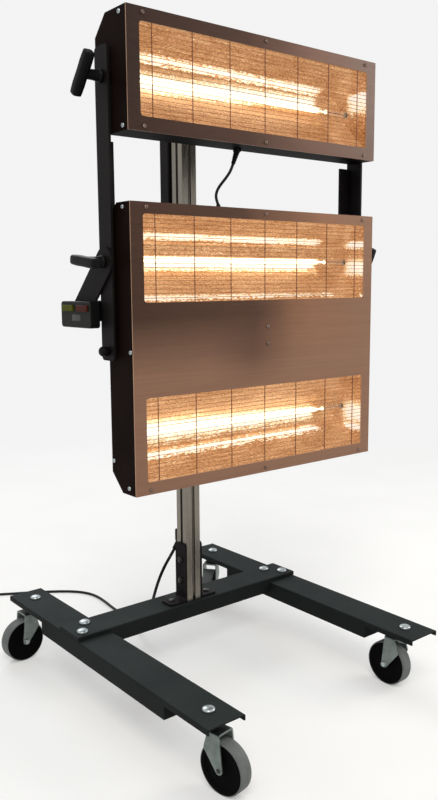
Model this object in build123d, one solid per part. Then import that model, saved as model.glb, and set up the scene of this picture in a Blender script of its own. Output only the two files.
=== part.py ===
from build123d import *
from math import atan2, ceil, cos, degrees, pi, radians, sin, tan
import os

# Infrared heater tower: two lamp cassettes on a tilting head that slides on a slotted mast,
# which stands on an H-shaped base with four swivel casters.
# X is the cassettes' width, the lamps face -Y, and the floor is at Z = 0.
# Places below are measured from the mast's axis. The last section moves the origin to the
# middle of the footprint.

# Fits
running = 0.05          # radial gap of a shaft that turns in its bore
play = 0.3              # gap between pieces that move past each other
slack = 0.25            # radial gap of a bolt in its hole

# Base
track = 560             # between the centre lines of the legs
leg_width = 86
leg_front = 486         # from the mast's axis to the front end of a leg
leg_back = 314
leg_top = 144
leg_depth = 40          # deep middle of the flanges
leg_lip = 12            # shallow ends of the flanges, over the casters
front_cut = 134         # length of the shallow end at the front
back_cut = 170
base_sheet = 3
deck_width = 84
deck_shift = 11.5       # the cross member's middle lies this far behind the mast's axis
deck_rise = 10          # top of the cross member above the legs
deck_depth = 36
deck_bolt_dx = 14.2     # the two bolts over a leg sit on a diagonal
deck_bolt_dy = 20
deck_bolt_out = 6

# Fasteners
m10, m8, m5 = 5.0, 4.0, 2.5
dome_radius, dome_height = 12.5, 7
button_radius, button_height = 8, 4.5
pan_radius, pan_height = 4.5, 2.6
nut_flat, nut_height = 9.8, 7.5
small_nut_flat, small_nut_height = 7.5, 6.5

# Casters
wheel_radius = 50
tyre_thick = 6
tyre_width = 29
trail = 40              # swivel axis to wheel axle
fork_sheet = 3
fork_gap = 34
crown_thick = 4
crown_back, crown_front = -19, 43       # ends of the crown, from the swivel axis
fork_head = 23          # radius of the round head of the fork
fork_eye = 9
axle_head, axle_height = 6.5, 3
race_radius = 19
race_height = 17
caster_inset = 53       # from the end of a leg to the swivel axis
headings = {"front_left": 170, "back_left": -94, "front_right": -2, "back_right": -128}

# Mast
mast_side = 40
slot_mouth = 8.4
slot_lip = 4.5
slot_width = 20
slot_depth = 12
mast_bore = 3.5
mast_top = 1400
cap_thick = 3
bracket_height = 142
bracket_foot = 50
bracket_thick = 5
bracket_bolt_low, bracket_bolt_high = 49, 101
foot_bolt_out = 32

# Carriage
pad_thick = 5
cheek_thick = 5
spine_depth = 34
spine_wall = 3
lower_collar_height, upper_collar_height = 90, 30
collar_spread = 435     # between the undersides of the two collars
pad_margin = 5
cheek_bolt_inset = 18
tab_length = 32
knob_radius, knob_thick = 21, 16

# Yoke
bar_side = 40
bar_wall = 2.5
bar_y, bar_z = -118, 860        # middle of the crossbar; it carries the head's height
yoke_width = 54
yoke_thick = 5
box_length, box_height, box_depth = 114, 50, 20
box_y, box_drop = -137, 5       # the box's middle, and how far it lies below the crossbar's
box_screw_ahead = 10            # from the crossbar's front face forward to the box's screws
box_screw_rise, box_screw_pitch = 1, 12
box_screw_depth = 6
button_travel = 3
switch_length, switch_height, switch_depth = 40, 12, 12
switch_rise = 12
start_shift, stop_shift = 27, -28

# Head
pivot_y, pivot_rise = -212, 93  # tilt axis of the whole head, above the crossbar
upper_pivot_rise = 327          # tilt axis of the upper cassette, above the head's
arm_ahead = 20          # the arms reach this far in front of the tilt axis
arm_thick = 5
arm_flange = 33
arm_corner = 8
arm_drop, arm_rise = 183, 53    # below the head's axis and above the upper cassette's
flange_gap = 9                  # between the arms' rear flanges and the upper cassette
arm_bolt_inset = 18
cap_gap = 8                     # between a cassette's end and the arm
arm_bolt_head, arm_bolt_height = 9, 18
sleeve_radius = 9
thread_reach = 9        # how far a pivot screw reaches past an end plate
handle_reach = 40
handle_length = 90
handle_radius = 11
hub_radius = 10

# Cassettes
half_width = 325
front_y = -277
front_sheet = 2
shell_sheet = 1.5
lower_drop, lower_height, lower_depth = 436, 542, 82    # the bottom edge, below its axis
upper_drop, upper_height, upper_depth = 99, 210, 105
chamfer_size = 36
rim_depth = 10
weld_nut = 6            # thickness of the nuts behind the end plates
window_side, window_height = 27, 160    # sheet beside a window, and the window's height
window_corner = 6
lower_windows = (104, lower_height - 101)   # window middles above the lower cassette's bottom edge
upper_window = 106
screw_inset = 9
screw_end = 34          # from the front sheet's ends to its outer screws
middle_screw_x, middle_screw_pitch = 6, 35
# screws of the end plates: behind the front sheet's face, and above the cassette's bottom edge
lower_end_screws = ((25, lower_height - screw_inset), (8, lower_height / 2),
                    (lower_depth - 7, chamfer_size + 22), (22, 13))
upper_end_screws = ((22, upper_height - screw_inset), (17, 9))

# Lamp sets
wire_radius, cross_wire_radius, rim_wire_radius = 1.0, 0.6, 1.5
wire_pitch, cross_wire_pitch = 90, 8
wire_count = 7
reflector_sheet = 1
reflector_lip = 9
trough_margin = 2       # the trough is longer than the window by this at each end
trough_depth = 71
fold_depth, fold_height = 50, 41        # the bend in the steep flank
back_high, back_low = 33, 12            # upper and lower edges of the flat back
fold_radius = 5
lamp_radius, lamp_wall = 6, 1
lamp_inset = 14         # from a cassette's end to the lamp's
lamp_setback = 65       # from the front sheet's face to the lamp's axis
lamp_room = 2
seal_length = 12
filament_radius, lead_in_radius = 1.6, 0.6
left_lead_in, right_lead_in = 15, 99    # dark ends of the lamp on either side of the filament
disc_inset = 75         # from the lamp's right end to the disc that centres the lead-in
holder_width, holder_height, holder_cover = 22, 26, 2

# Leads
cord_radius = 3.75
lead_radius = 3
nozzle_root, nozzle_tip = 8, 5.5
outlet_size, outlet_height = 22, 30
outlet_low = 290
outlet_way = (-0.5, 0.15, -0.85)
outlet_length = 34
gland_radius, gland_nut, gland_length = 9, 6, 29
upper_gland_x, upper_gland_y = -33, -226
lower_gland_x = -65
coil_mid_radius, coil_width, coil_height = 45, 30, 27
coil_place = (-305, 790, 0)
plug_radius, plug_length, plug_grip = 17, 32, 26
pin_radius, pin_length, pin_spread = 2.4, 19, 9.5
tail_angle, tail_length = 233, 36       # where the cord leaves the coil, and its run to the plug

pivot_z = bar_z + pivot_rise
upper_pivot_z = pivot_z + upper_pivot_rise
lower_z, upper_z = pivot_z - lower_drop, upper_pivot_z - upper_drop
lower_collar = bar_z - lower_collar_height / 2
upper_collar = lower_collar + collar_spread
box_z = bar_z - box_drop
arm_low, arm_high = pivot_z - arm_drop, upper_pivot_z + arm_rise
arm_bolt_z = arm_low + arm_bolt_inset
flange_top = upper_z - flange_gap
deck_top = leg_top + deck_rise
deck_under = deck_top - base_sheet
leg_x = track / 2
mast_half = mast_side / 2
pad_out = mast_half + play + pad_thick
cheek_out = pad_out + cheek_thick
spine_back = pad_out + spine_depth
arm_in = half_width + cap_gap
arm_out = arm_in + arm_thick
yoke_in = arm_out + play
yoke_out = yoke_in + yoke_thick
bar_rear = bar_y + bar_side / 2
cheek_bolt_y = (pad_out + spine_back) / 2
box_out = yoke_out + box_depth
box_screw_y = bar_y - bar_side / 2 - box_screw_ahead
box_screw_levels = (bar_z + box_screw_rise, bar_z + box_screw_rise + box_screw_pitch)
switch_z = box_z + switch_rise
switch_places = {"start_button": box_y + start_shift, "stop_button": box_y + stop_shift}
lower_rear = front_y + lower_depth
arm_rear = lower_rear + play + arm_thick
shell_half = half_width - shell_sheet
window_width = 2 * (half_width - window_side)
trough_half = window_width / 2 + trough_margin
lamp_half = half_width - lamp_inset
filament_left, filament_right = left_lead_in - lamp_half, lamp_half - right_lead_in
lead_in_disc = lamp_half - disc_inset
screw_reach = half_width - screw_end
grille_y = front_y + front_sheet + rim_wire_radius
reflector_y = grille_y + rim_wire_radius + play
lamp_y = front_y + lamp_setback
lower_gland_seat = (
    lower_gland_x,
    lower_rear - chamfer_size / 2,
    lower_z + lower_height - chamfer_size / 2,
)
lower_gland_place = (lower_gland_seat, (0, 1, 1), (0.05, 0.3, 0.95))
upper_gland_place = ((upper_gland_x, upper_gland_y, upper_z), (0, 0, -1), (-0.4, 0, -1))
outlet_back = mast_half + outlet_size
outlet_seat = (0, mast_half + outlet_size / 2, outlet_low + outlet_height / 3)
outlet_end = Vector(outlet_seat) + Vector(outlet_way).normalized() * outlet_length
casters = {
    "front_left": (-leg_x, -leg_front + caster_inset),
    "back_left": (-leg_x, leg_back - caster_inset),
    "front_right": (leg_x, -leg_front + caster_inset),
    "back_right": (leg_x, leg_back - caster_inset),
}


def block(x0, x1, y0, y1, z0, z1):
    """Box between two corners."""
    return Pos(x0, y0, z0) * Box(x1 - x0, y1 - y0, z1 - z0, align=(Align.MIN,) * 3)


def bar(start, direction, length, radius):
    """Round bar from a point along a direction."""
    return extrude(Plane(origin=start, z_dir=direction) * Circle(radius), length)


def rod(start, direction, length, radius, sides=6):
    """Thin rod or wire with a many-sided section that a circle of the radius encloses."""
    return extrude(Plane(origin=start, z_dir=direction) * RegularPolygon(radius, sides), length)


def cone(start, direction, length, root, tip):
    """Tapered bar from a point along a direction."""
    frame = Plane(origin=start, z_dir=direction)
    return loft([frame * Circle(root), frame.offset(length) * Circle(tip)])


def across(sketch, x0, x1):
    """Sketch drawn as (y, z), extruded from x0 to x1."""
    return extrude(Plane.YZ.offset(x0) * sketch, x1 - x0)


def outline(*points):
    return make_face(Polyline(*points, close=True))


def group(*solids):
    """Pieces of one kind that stay separate solids."""
    return Compound(children=list(solids))


def bolt(seat, direction, shank, length, head, height):
    """Button-headed bolt, seated at a point, with its shank against the direction."""
    profile = outline((0, -length), (shank, -length), (shank, 0), *head_profile(head, height))
    return Plane(origin=seat, z_dir=direction) * revolve(Plane.XZ * profile, Axis.Z)


def head_profile(radius, height):
    """Corners of a head with a short rim and a sloping crown, from its seat to its middle."""
    return (radius, 0), (radius, 0.3 * height), (0.55 * radius, height), (0, height)


def pan_head(seat, direction):
    """Low screw head on a sheet."""
    return cone(seat, direction, pan_height, pan_radius, 0.6 * pan_radius)


def hex_nut(seat, direction, bore, size=nut_flat, height=nut_height):
    """Nut whose back lies on a seat and whose body stands along the direction."""
    ring = RegularPolygon(size, 6) - Circle(bore + slack)
    return extrude(Plane(origin=seat, z_dir=direction) * ring, height)


# ---------------------------------------------------------------- base


def leg(side):
    """Inverted channel, open at both ends, with a wall at each end of its deep middle."""
    x = side * leg_x
    half = leg_width / 2
    floor = leg_top - leg_depth
    tray = block(x - half, x + half, -leg_front, leg_back, floor, leg_top)
    bends = tray.edges().filter_by(Axis.Y).group_by(Axis.Z)[-1]
    tray = fillet(bends, base_sheet)
    tray -= block(x - half + base_sheet, x + half - base_sheet, -leg_front, leg_back,
                  floor, leg_top - base_sheet)
    for y0, y1 in ((-leg_front, -leg_front + front_cut), (leg_back - back_cut, leg_back)):
        tray -= block(x - half, x + half, y0, y1, floor, leg_top - leg_lip)
    for y in (-leg_front + front_cut, leg_back - back_cut - base_sheet):
        tray += block(x - half + base_sheet, x + half - base_sheet, y, y + base_sheet,
                      floor, leg_top - base_sheet)
    for cx, cy in casters.values():
        tray -= bar((cx, cy, leg_top - leg_lip), (0, 0, 1), leg_lip, m10 + slack)
    for bx, by in deck_bolt_places():
        tray -= bar((bx, by, leg_top - leg_lip), (0, 0, 1), leg_lip, m10 + slack)
    return tray


def deck_bolt_places():
    return [
        (side * (leg_x + deck_bolt_out + out * deck_bolt_dx), deck_shift - out * deck_bolt_dy)
        for side in (-1, 1)
        for out in (-1, 1)
    ]


def foot_bolt_places():
    return [(side * (mast_half + foot_bolt_out), 0) for side in (-1, 1)]


def cross_member():
    end = leg_x + leg_width / 2
    inner = leg_x - leg_width / 2
    front, back = deck_shift - deck_width / 2, deck_shift + deck_width / 2
    low = deck_top - deck_depth
    deck = block(-end, end, front, back, low, deck_top)
    deck = fillet(deck.edges().filter_by(Axis.X).group_by(Axis.Z)[-1], base_sheet)
    deck -= block(-end + base_sheet, end - base_sheet, front + base_sheet, back - base_sheet,
                  low, deck_under)
    for x0, x1 in ((-end, -inner), (inner, end)):
        deck -= block(x0, x1, front, back, low, leg_top)
    for x, y in deck_bolt_places():
        deck -= bar((x, y, deck_under), (0, 0, 1), base_sheet, m10 + slack)
    for x, y in foot_bolt_places():
        deck -= bar((x, y, deck_under), (0, 0, 1), base_sheet, m8 + slack)
    return deck


# ---------------------------------------------------------------- casters

race_top = leg_top - base_sheet
crown_top = race_top - race_height - play
crown_under = crown_top - crown_thick
kingpin_nut_top = crown_under - play


def caster_races():
    """Fixed bearing housings under the legs, narrower at the bottom edge."""
    bore, groove = m10 + slack, race_radius - 3
    low = race_top - race_height
    profile = outline((bore, race_top), (race_radius, race_top), (race_radius, low + 3),
                      (groove, low), (bore, low))
    race = revolve(Plane.XZ * profile, Axis.Z)
    return group(*[Pos(x, y, 0) * race for x, y in casters.values()])


def fork():
    """Pressed steel fork that trails along +Y from its swivel axis, with its axle bolt."""
    half = fork_gap / 2 + fork_sheet
    crown = outline((crown_back, crown_under), (crown_front, crown_under),
                    (crown_front, crown_top), (crown_back, crown_top))
    eye = Pos(trail, wheel_radius) * Circle(fork_eye)
    body = across(make_hull(crown.edges() + eye.edges()), -half, half)
    body = fillet(body.edges().filter_by(Axis.Y).group_by(Axis.Z)[-1], fork_sheet)
    body += Pos(0, 0, crown_under + crown_thick / 2) * Cylinder(fork_head, crown_thick)
    body -= block(-fork_gap / 2, fork_gap / 2, -leg_width, leg_width, 0, crown_under)
    body -= bar((0, 0, crown_under), (0, 0, 1), crown_thick, m10 + running)
    body -= bar((-half, trail, wheel_radius), (1, 0, 0), 2 * half, m8 + slack)
    axle = bolt((-half, trail, wheel_radius), (-1, 0, 0), m8, 2 * half + small_nut_height + 1,
                axle_head, axle_height)
    nut = hex_nut((half, trail, wheel_radius), (1, 0, 0), m8, small_nut_flat, small_nut_height)
    return group(body, axle, nut)


def wheel():
    """Flat wheel centre with a low boss on each side, between the fork's cheeks."""
    bore = m8 + running
    boss = fork_gap / 2 - slack
    rim = wheel_radius - tyre_thick
    face = tyre_width / 2 - 1
    side = [(boss, bore), (boss, 12), (face, 14), (face, rim)]
    profile = outline(*side, *[(-x, r) for x, r in reversed(side)])
    return Pos(0, trail, wheel_radius) * revolve(profile, Axis.X)


def tyre():
    rim = wheel_radius - tyre_thick
    band = Rectangle(tyre_width, tyre_thick)
    band = chamfer(band.vertices().group_by(Axis.Y)[-1], 3)
    profile = Pos(0, rim + tyre_thick / 2) * band
    return Pos(0, trail, wheel_radius) * revolve(profile, Axis.X)


# ---------------------------------------------------------------- mast


def mast():
    """Slotted square extrusion with an undercut slot in each face."""
    mouth, wide = slot_mouth / 2, slot_width / 2
    inner = mast_half - slot_lip
    deep = mast_half - slot_depth
    slot = outline((-mouth, mast_half), (-mouth, inner), (-wide, inner), (-wide, inner - 3),
                   (-wide / 2, deep), (wide / 2, deep), (wide, inner - 3), (wide, inner),
                   (mouth, inner), (mouth, mast_half))
    section = RectangleRounded(mast_side, mast_side, 1.5) - Circle(mast_bore)
    for turn in range(4):
        section -= Rot(0, 0, 90 * turn) * slot
    return extrude(Pos(0, 0, deck_top) * section, mast_top - deck_top)


def mast_cap():
    plate = extrude(Pos(0, 0, mast_top) * RectangleRounded(mast_side, mast_side, 1.5), cap_thick)
    plate = chamfer(plate.edges().group_by(Axis.Z)[-1], 1)
    return plate + bar((0, 0, mast_top - 12), (0, 0, 1), 12, mast_bore)


def foot_bracket(side):
    """Angle bracket between one side of the mast and the cross member."""
    out, top = mast_half + bracket_foot, deck_top + bracket_height
    plan = outline((mast_half, deck_top), (out, deck_top), (out, deck_top + bracket_thick),
                   (mast_half + bracket_thick, deck_top + bracket_thick),
                   (mast_half + bracket_thick, top), (mast_half, top))
    angle = extrude(Plane.XZ.offset(-mast_half) * plan, mast_side)
    corners = angle.edges().filter_by(Axis.Z).group_by(Axis.X)[-1]
    corners += angle.edges().filter_by(Axis.X).group_by(Axis.Z)[-1]
    angle = fillet(corners, 8)
    inside = angle.edges().filter_by(Axis.Y).sort_by_distance(
        (mast_half + bracket_thick, 0, deck_top + bracket_thick))[0]
    angle = fillet([inside], 6)
    for z in (deck_top + bracket_bolt_low, deck_top + bracket_bolt_high):
        angle -= bar((mast_half, 0, z), (1, 0, 0), bracket_thick, m8 + slack)
    angle -= bar((mast_half + foot_bolt_out, 0, deck_top), (0, 0, 1), bracket_thick, m8 + slack)
    return angle if side > 0 else mirror(angle, Plane.YZ)


def base_bolts():
    """Button-headed bolts of the cross member and the brackets, and those the casters swivel on."""
    deck_length = deck_top - leg_top + base_sheet + nut_height + 2
    pin_length = leg_top - kingpin_nut_top + nut_height + 2
    seat = mast_half + bracket_thick
    up = (0, 0, 1)
    bolts = [
        bolt((x, y, deck_top), up, m10, deck_length, dome_radius, dome_height)
        for x, y in deck_bolt_places()
    ]
    bolts += [
        bolt((x, y, leg_top), up, m10, pin_length, dome_radius, dome_height)
        for x, y in casters.values()
    ]
    bolts += [
        bolt((side * seat, 0, deck_top + rise), (side, 0, 0), m8,
                   bracket_thick + slot_lip + 5, button_radius, button_height)
        for side in (-1, 1)
        for rise in (bracket_bolt_low, bracket_bolt_high)
    ]
    bolts += [
        bolt((x, y, deck_top + bracket_thick), up, m8,
                   bracket_thick + base_sheet + small_nut_height + 2,
                   button_radius, button_height)
        for x, y in foot_bolt_places()
    ]
    return group(*bolts)


def base_nuts():
    """Nuts under the base, nuts in the mast's slots, and spacers under the cross member."""
    down = (0, 0, -1)
    pieces = [hex_nut((x, y, race_top), down, m10) for x, y in deck_bolt_places()]
    pieces += [hex_nut((x, y, kingpin_nut_top), down, m10) for x, y in casters.values()]
    pieces += [
        hex_nut((x, y, deck_under), down, m8, small_nut_flat, small_nut_height)
        for x, y in foot_bolt_places()
    ]
    outer = mast_half - slot_lip - slack
    slot_nut = Rectangle(13, 13) - Circle(m8 + slack)
    pieces += [
        extrude(Plane(origin=(side * outer, 0, deck_top + rise), z_dir=(-side, 0, 0)) * slot_nut, 5)
        for side in (-1, 1)
        for rise in (bracket_bolt_low, bracket_bolt_high)
    ]
    spacer = Circle(2 * m10 - 2) - Circle(m10 + slack)
    pieces += [
        extrude(Pos(x, y, leg_top) * spacer, deck_under - leg_top)
        for x, y in deck_bolt_places()
    ]
    return group(*pieces)


# ---------------------------------------------------------------- carriage

collars = ((lower_collar, lower_collar_height), (upper_collar, upper_collar_height))
knob_z = bar_z
cheek_bolt_levels = (
    lower_collar + cheek_bolt_inset,
    lower_collar + lower_collar_height - cheek_bolt_inset,
)
tab_bolt_x = cheek_out + tab_length / 2


def carriage_spine():
    """Rectangular tube behind the mast, with the upper collar welded round its top."""
    top = upper_collar + upper_collar_height
    tube = block(-pad_out, pad_out, pad_out, spine_back, lower_collar, top)
    tube = fillet(tube.edges().filter_by(Axis.Z), spine_wall)
    tube -= block(-pad_out + spine_wall, pad_out - spine_wall, pad_out + spine_wall,
                  spine_back - spine_wall, lower_collar, top)
    for z in cheek_bolt_levels:
        tube -= bar((-pad_out, cheek_bolt_y, z), (1, 0, 0), 2 * pad_out, m8 + slack)
    return tube + collar(upper_collar, upper_collar_height, -cheek_out)


def collar(low, height, front):
    """Strap across the mast's front between two cheeks that reach back over the spine."""
    strap = block(-cheek_out, cheek_out, -cheek_out, -pad_out, low, low + height)
    for x in (-cheek_out, pad_out):
        strap += block(x, x + cheek_thick, front, spine_back, low, low + height)
    return strap


def carriage_bracket():
    """Lower collar, whose cheeks run forward to the crossbar and turn out as tabs."""
    low, high = lower_collar, lower_collar + lower_collar_height
    body = collar(low, lower_collar_height, bar_rear)
    for side in (-1, 1):
        x0, x1 = sorted((side * pad_out, side * (cheek_out + tab_length)))
        body += block(x0, x1, bar_rear, bar_rear + cheek_thick, low, high)
        body -= bar((side * tab_bolt_x, bar_rear, bar_z), (0, 1, 0), cheek_thick, m8 + slack)
    body -= bar((pad_out, 0, knob_z), (1, 0, 0), cheek_thick, m8 + running)
    for z in cheek_bolt_levels:
        body -= bar((-cheek_out, cheek_bolt_y, z), (1, 0, 0), 2 * cheek_out, m8 + slack)
    return body


def glide_pads():
    """Plastic liners between the mast's four faces and each collar."""
    pads = []
    for low, height in collars:
        z0, z1 = low + pad_margin, low + height - pad_margin
        half = mast_half - 2
        near, far = mast_half + play, pad_out
        pads += [
            block(-half, half, -far, -near, z0, z1),
            block(-half, half, near, far, z0, z1),
            block(-far, -near, -half, half, z0, z1),
            block(near, far, -half, half, z0, z1),
        ]
    return group(*pads)


def carriage_bolts():
    """Bolts through the cheeks into the spine, through the tabs into the crossbar, and the
    control box's two screws."""
    bolts = []
    for side in (-1, 1):
        for z in cheek_bolt_levels:
            bolts.append(bolt((side * cheek_out, cheek_bolt_y, z), (side, 0, 0), m8,
                                    cheek_thick + spine_wall + 3, button_radius, button_height))
        bolts.append(bolt((side * tab_bolt_x, bar_rear + cheek_thick, bar_z), (0, 1, 0),
                                m8, cheek_thick + bar_wall + 3, button_radius, button_height))
    for z in box_screw_levels:
        bolts.append(bolt((-yoke_in, box_screw_y, z), (1, 0, 0), m5,
                                yoke_thick + box_screw_depth - 1, pan_radius, pan_height))
    return group(*bolts)


def clamp_knob():
    """Lobed knob whose screw presses the side pad against the mast."""
    seat = cheek_out + play
    lobes = Circle(knob_radius - 5)
    for turn in range(5):
        lobes += Rot(0, 0, 72 * turn) * Pos(knob_radius - 6.5, 0) * Circle(6.5)
    head = extrude(Plane(origin=(seat + 10, 0, knob_z), z_dir=(1, 0, 0)) * lobes, knob_thick)
    hub = bar((seat, 0, knob_z), (1, 0, 0), 10, 9)
    screw = bar((pad_out + play, 0, knob_z), (1, 0, 0), seat - pad_out, m8)
    return head + hub + screw


# ---------------------------------------------------------------- yoke


def yoke():
    """Square crossbar welded between two flat arms that rise to the head's pivot."""
    half, side = yoke_in, bar_side / 2
    tube = block(-half, half, bar_y - side, bar_y + side, bar_z - side, bar_z + side)
    tube = fillet(tube.edges().filter_by(Axis.X), 4)
    hole = side - bar_wall
    tube -= block(-half, half, bar_y - hole, bar_y + hole, bar_z - hole, bar_z + hole)
    for sign in (-1, 1):
        tube -= bar((sign * tab_bolt_x, bar_rear - bar_wall, bar_z), (0, 1, 0), bar_wall,
                    m8 + slack)
    arm = yoke_arm()
    left = mirror(arm, Plane.YZ)
    for z in box_screw_levels:
        left -= bar((-yoke_out, box_screw_y, z), (1, 0, 0), yoke_thick, m5 + slack)
    return tube + arm + left


def yoke_arm():
    """Right-hand flat arm, round at both ends, with a clearance hole for the pivot screw."""
    rise = Vector(bar_y - pivot_y, bar_z - pivot_z)
    tilt = degrees(atan2(rise.Y, rise.X))
    plate = Pos((bar_y + pivot_y) / 2, (bar_z + pivot_z) / 2) * Rot(0, 0, tilt) * (
        SlotCenterToCenter(rise.length, yoke_width))
    plate -= Pos(pivot_y, pivot_z) * Circle(m10 + play)
    return across(plate, yoke_in, yoke_out)


def control_box():
    """Switch housing on the left yoke arm, with a pocket for each button."""
    half_y, half_z = box_length / 2, box_height / 2
    shell = block(-box_out, -yoke_out, box_y - half_y, box_y + half_y,
                  box_z - half_z, box_z + half_z)
    shell = fillet(shell.edges().filter_by(Axis.X), 7)
    shell = fillet(shell.faces().sort_by(Axis.X)[0].edges(), 2)
    for y in switch_places.values():
        shell -= switch_block(y, -box_out, play)
    for z in box_screw_levels:
        shell -= bar((-yoke_out, box_screw_y, z), (-1, 0, 0), box_screw_depth, m5 + slack)
    return shell


def switch_block(y, face, margin):
    """Space of one button behind a face, wider all round by a margin."""
    half_y, half_z = switch_length / 2 + margin, switch_height / 2 + margin
    return block(face, -box_out + switch_depth, y - half_y, y + half_y,
                 switch_z - half_z, switch_z + half_z)


def button(y):
    """Sprung button that stands out of its pocket by a little more than its travel."""
    stand = button_travel + 1
    cap = switch_block(y, -box_out - stand, 0)
    cap -= block(-box_out + switch_depth - stand, -box_out + switch_depth, y - switch_length,
                 y + switch_length, switch_z - switch_height, switch_z + switch_height)
    return chamfer(cap.faces().sort_by(Axis.X)[0].edges(), 1)


# ---------------------------------------------------------------- head


def head_arm(side):
    """Upright angle beside the cassettes; its rear flange stops below the upper cassette."""
    front = pivot_y - arm_ahead
    web = Pos((front + arm_rear) / 2, (arm_low + arm_high) / 2) * RectangleRounded(
        arm_rear - front, arm_high - arm_low, arm_corner)
    for z in (pivot_z, upper_pivot_z):
        web -= Pos(pivot_y, z) * Circle(m10 + play)
    web -= Pos(pivot_y, arm_bolt_z) * Circle(m8 + slack)
    arm = across(web, arm_in, arm_out)
    arm += block(arm_out - arm_flange, arm_out, arm_rear - arm_thick, arm_rear,
                 arm_low + arm_corner, flange_top)
    return arm if side > 0 else mirror(arm, Plane.YZ)


def sleeve(z, bore, length):
    """Spacers between the two arms and a cassette's two ends."""
    ring = across(Pos(pivot_y, z) * (Circle(sleeve_radius) - Circle(bore)),
                  half_width, half_width + length)
    return [ring, mirror(ring, Plane.YZ)]


def arm_bolts():
    """Bolts and spacers that join the arms to the lower cassette."""
    length = arm_thick + cap_gap + shell_sheet + thread_reach
    bolts = [
        bolt((side * arm_out, pivot_y, arm_bolt_z), (side, 0, 0), m8, length,
                   arm_bolt_head, arm_bolt_height)
        for side in (-1, 1)
    ]
    return group(*bolts, *sleeve(pivot_z, m10 + play, cap_gap),
                 *sleeve(arm_bolt_z, m8 + slack, cap_gap))


def upper_pivot():
    """Right-hand pivot bolt and the spacers that turn with the upper cassette."""
    length = play + arm_thick + cap_gap + shell_sheet + thread_reach
    pin = bolt((arm_out + play, pivot_y, upper_pivot_z), (1, 0, 0), m10, length,
               dome_radius, dome_height)
    return group(pin, *sleeve(upper_pivot_z, m10 + slack, cap_gap - play))


def tee_handle(side, seat, z, lean):
    """Clamping handle: screw, tapered hub and a cross grip that leans from upright."""
    start = seat + play
    tip = shell_half - thread_reach
    screw = bar((tip, pivot_y, z), (1, 0, 0), start - tip, m10)
    hub = cone((start, pivot_y, z), (1, 0, 0), handle_reach, hub_radius + 2, hub_radius - 2)
    middle = start + handle_reach
    swing = Vector(0, sin(radians(lean)), cos(radians(lean)))
    grip_end = Vector(middle, pivot_y, z) - swing * (handle_length / 2)
    grip = bar(grip_end, swing, handle_length, handle_radius)
    grip = chamfer(grip.edges(), 4)
    handle = screw + hub + grip
    return handle if side > 0 else mirror(handle, Plane.YZ)


# ---------------------------------------------------------------- cassettes


def side_profile(low, height, depth):
    """Cassette's side outline behind the front sheet, with both rear corners cut off."""
    front, rear, top = front_y + front_sheet, front_y + depth, low + height
    cut = chamfer_size
    return outline((front, low), (rear - cut, low), (rear, low + cut), (rear, top - cut),
                   (rear - cut, top), (front, top))


def housing(low, height, depth):
    """Folded sheet shell, open at the front and at both ends."""
    outer = side_profile(low, height, depth)
    body = across(outer, -shell_half, shell_half)
    body -= across(offset(outer, -shell_sheet, kind=Kind.INTERSECTION), -shell_half, shell_half)
    front = front_y + front_sheet
    return body - block(-shell_half, shell_half, front, front + shell_sheet,
                        low + shell_sheet, low + height - shell_sheet)


def end_caps(low, height, depth, screws):
    """End plates, each with a rim inside the shell and a welded nut behind each screw hole."""
    outer = side_profile(low, height, depth)
    rim_outer = offset(outer, -shell_sheet - play, kind=Kind.INTERSECTION)
    rim_inner = offset(rim_outer, -shell_sheet, kind=Kind.INTERSECTION)
    cap = across(outer, shell_half, half_width)
    cap += across(rim_outer - rim_inner, shell_half - rim_depth, shell_half)
    for z, bore in screws:
        cap += bar((shell_half - weld_nut, pivot_y, z), (1, 0, 0), weld_nut, bore + 5)
        cap -= bar((shell_half - weld_nut, pivot_y, z), (1, 0, 0), weld_nut + shell_sheet, bore)
    return group(cap, mirror(cap, Plane.YZ))


def front_frame(low, height, windows):
    """Brushed front sheet with a rounded window for each lamp."""
    sheet = Pos(0, low + height / 2) * Rectangle(2 * half_width, height)
    for z in windows:
        sheet -= Pos(0, z) * RectangleRounded(window_width, window_height, window_corner)
    return extrude(Plane.XZ.offset(-front_y) * sheet, -front_sheet)


def grille(z):
    """Guard: a rim wire, upright wires in front and fine cross wires behind them."""
    half_x = trough_half + reflector_lip - rim_wire_radius
    half_z = window_height / 2 + reflector_lip - rim_wire_radius
    frame = RectangleRounded(2 * half_x + 3, 2 * half_z + 3, 4) - RectangleRounded(
        2 * half_x - 3, 2 * half_z - 3, 3)
    wires = [extrude(Plane.XZ.offset(-grille_y - rim_wire_radius) * Pos(0, z) * frame,
                     2 * rim_wire_radius)]
    inner_x, inner_z = half_x - rim_wire_radius, half_z - rim_wire_radius
    upright_y = grille_y - rim_wire_radius + wire_radius
    cross_y = upright_y + wire_radius + cross_wire_radius + running
    for index in range(wire_count):
        x = (index - (wire_count - 1) / 2) * wire_pitch
        wires.append(rod((x, upright_y, z - inner_z), (0, 0, 1), 2 * inner_z, wire_radius))
    rows = ceil(window_height / cross_wire_pitch) - 1
    for index in range(rows):
        level = z + (index - (rows - 1) / 2) * cross_wire_pitch
        wires.append(rod((-inner_x, cross_y, level), (1, 0, 0), 2 * inner_x, cross_wire_radius,
                         sides=4))
    return wires


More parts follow.
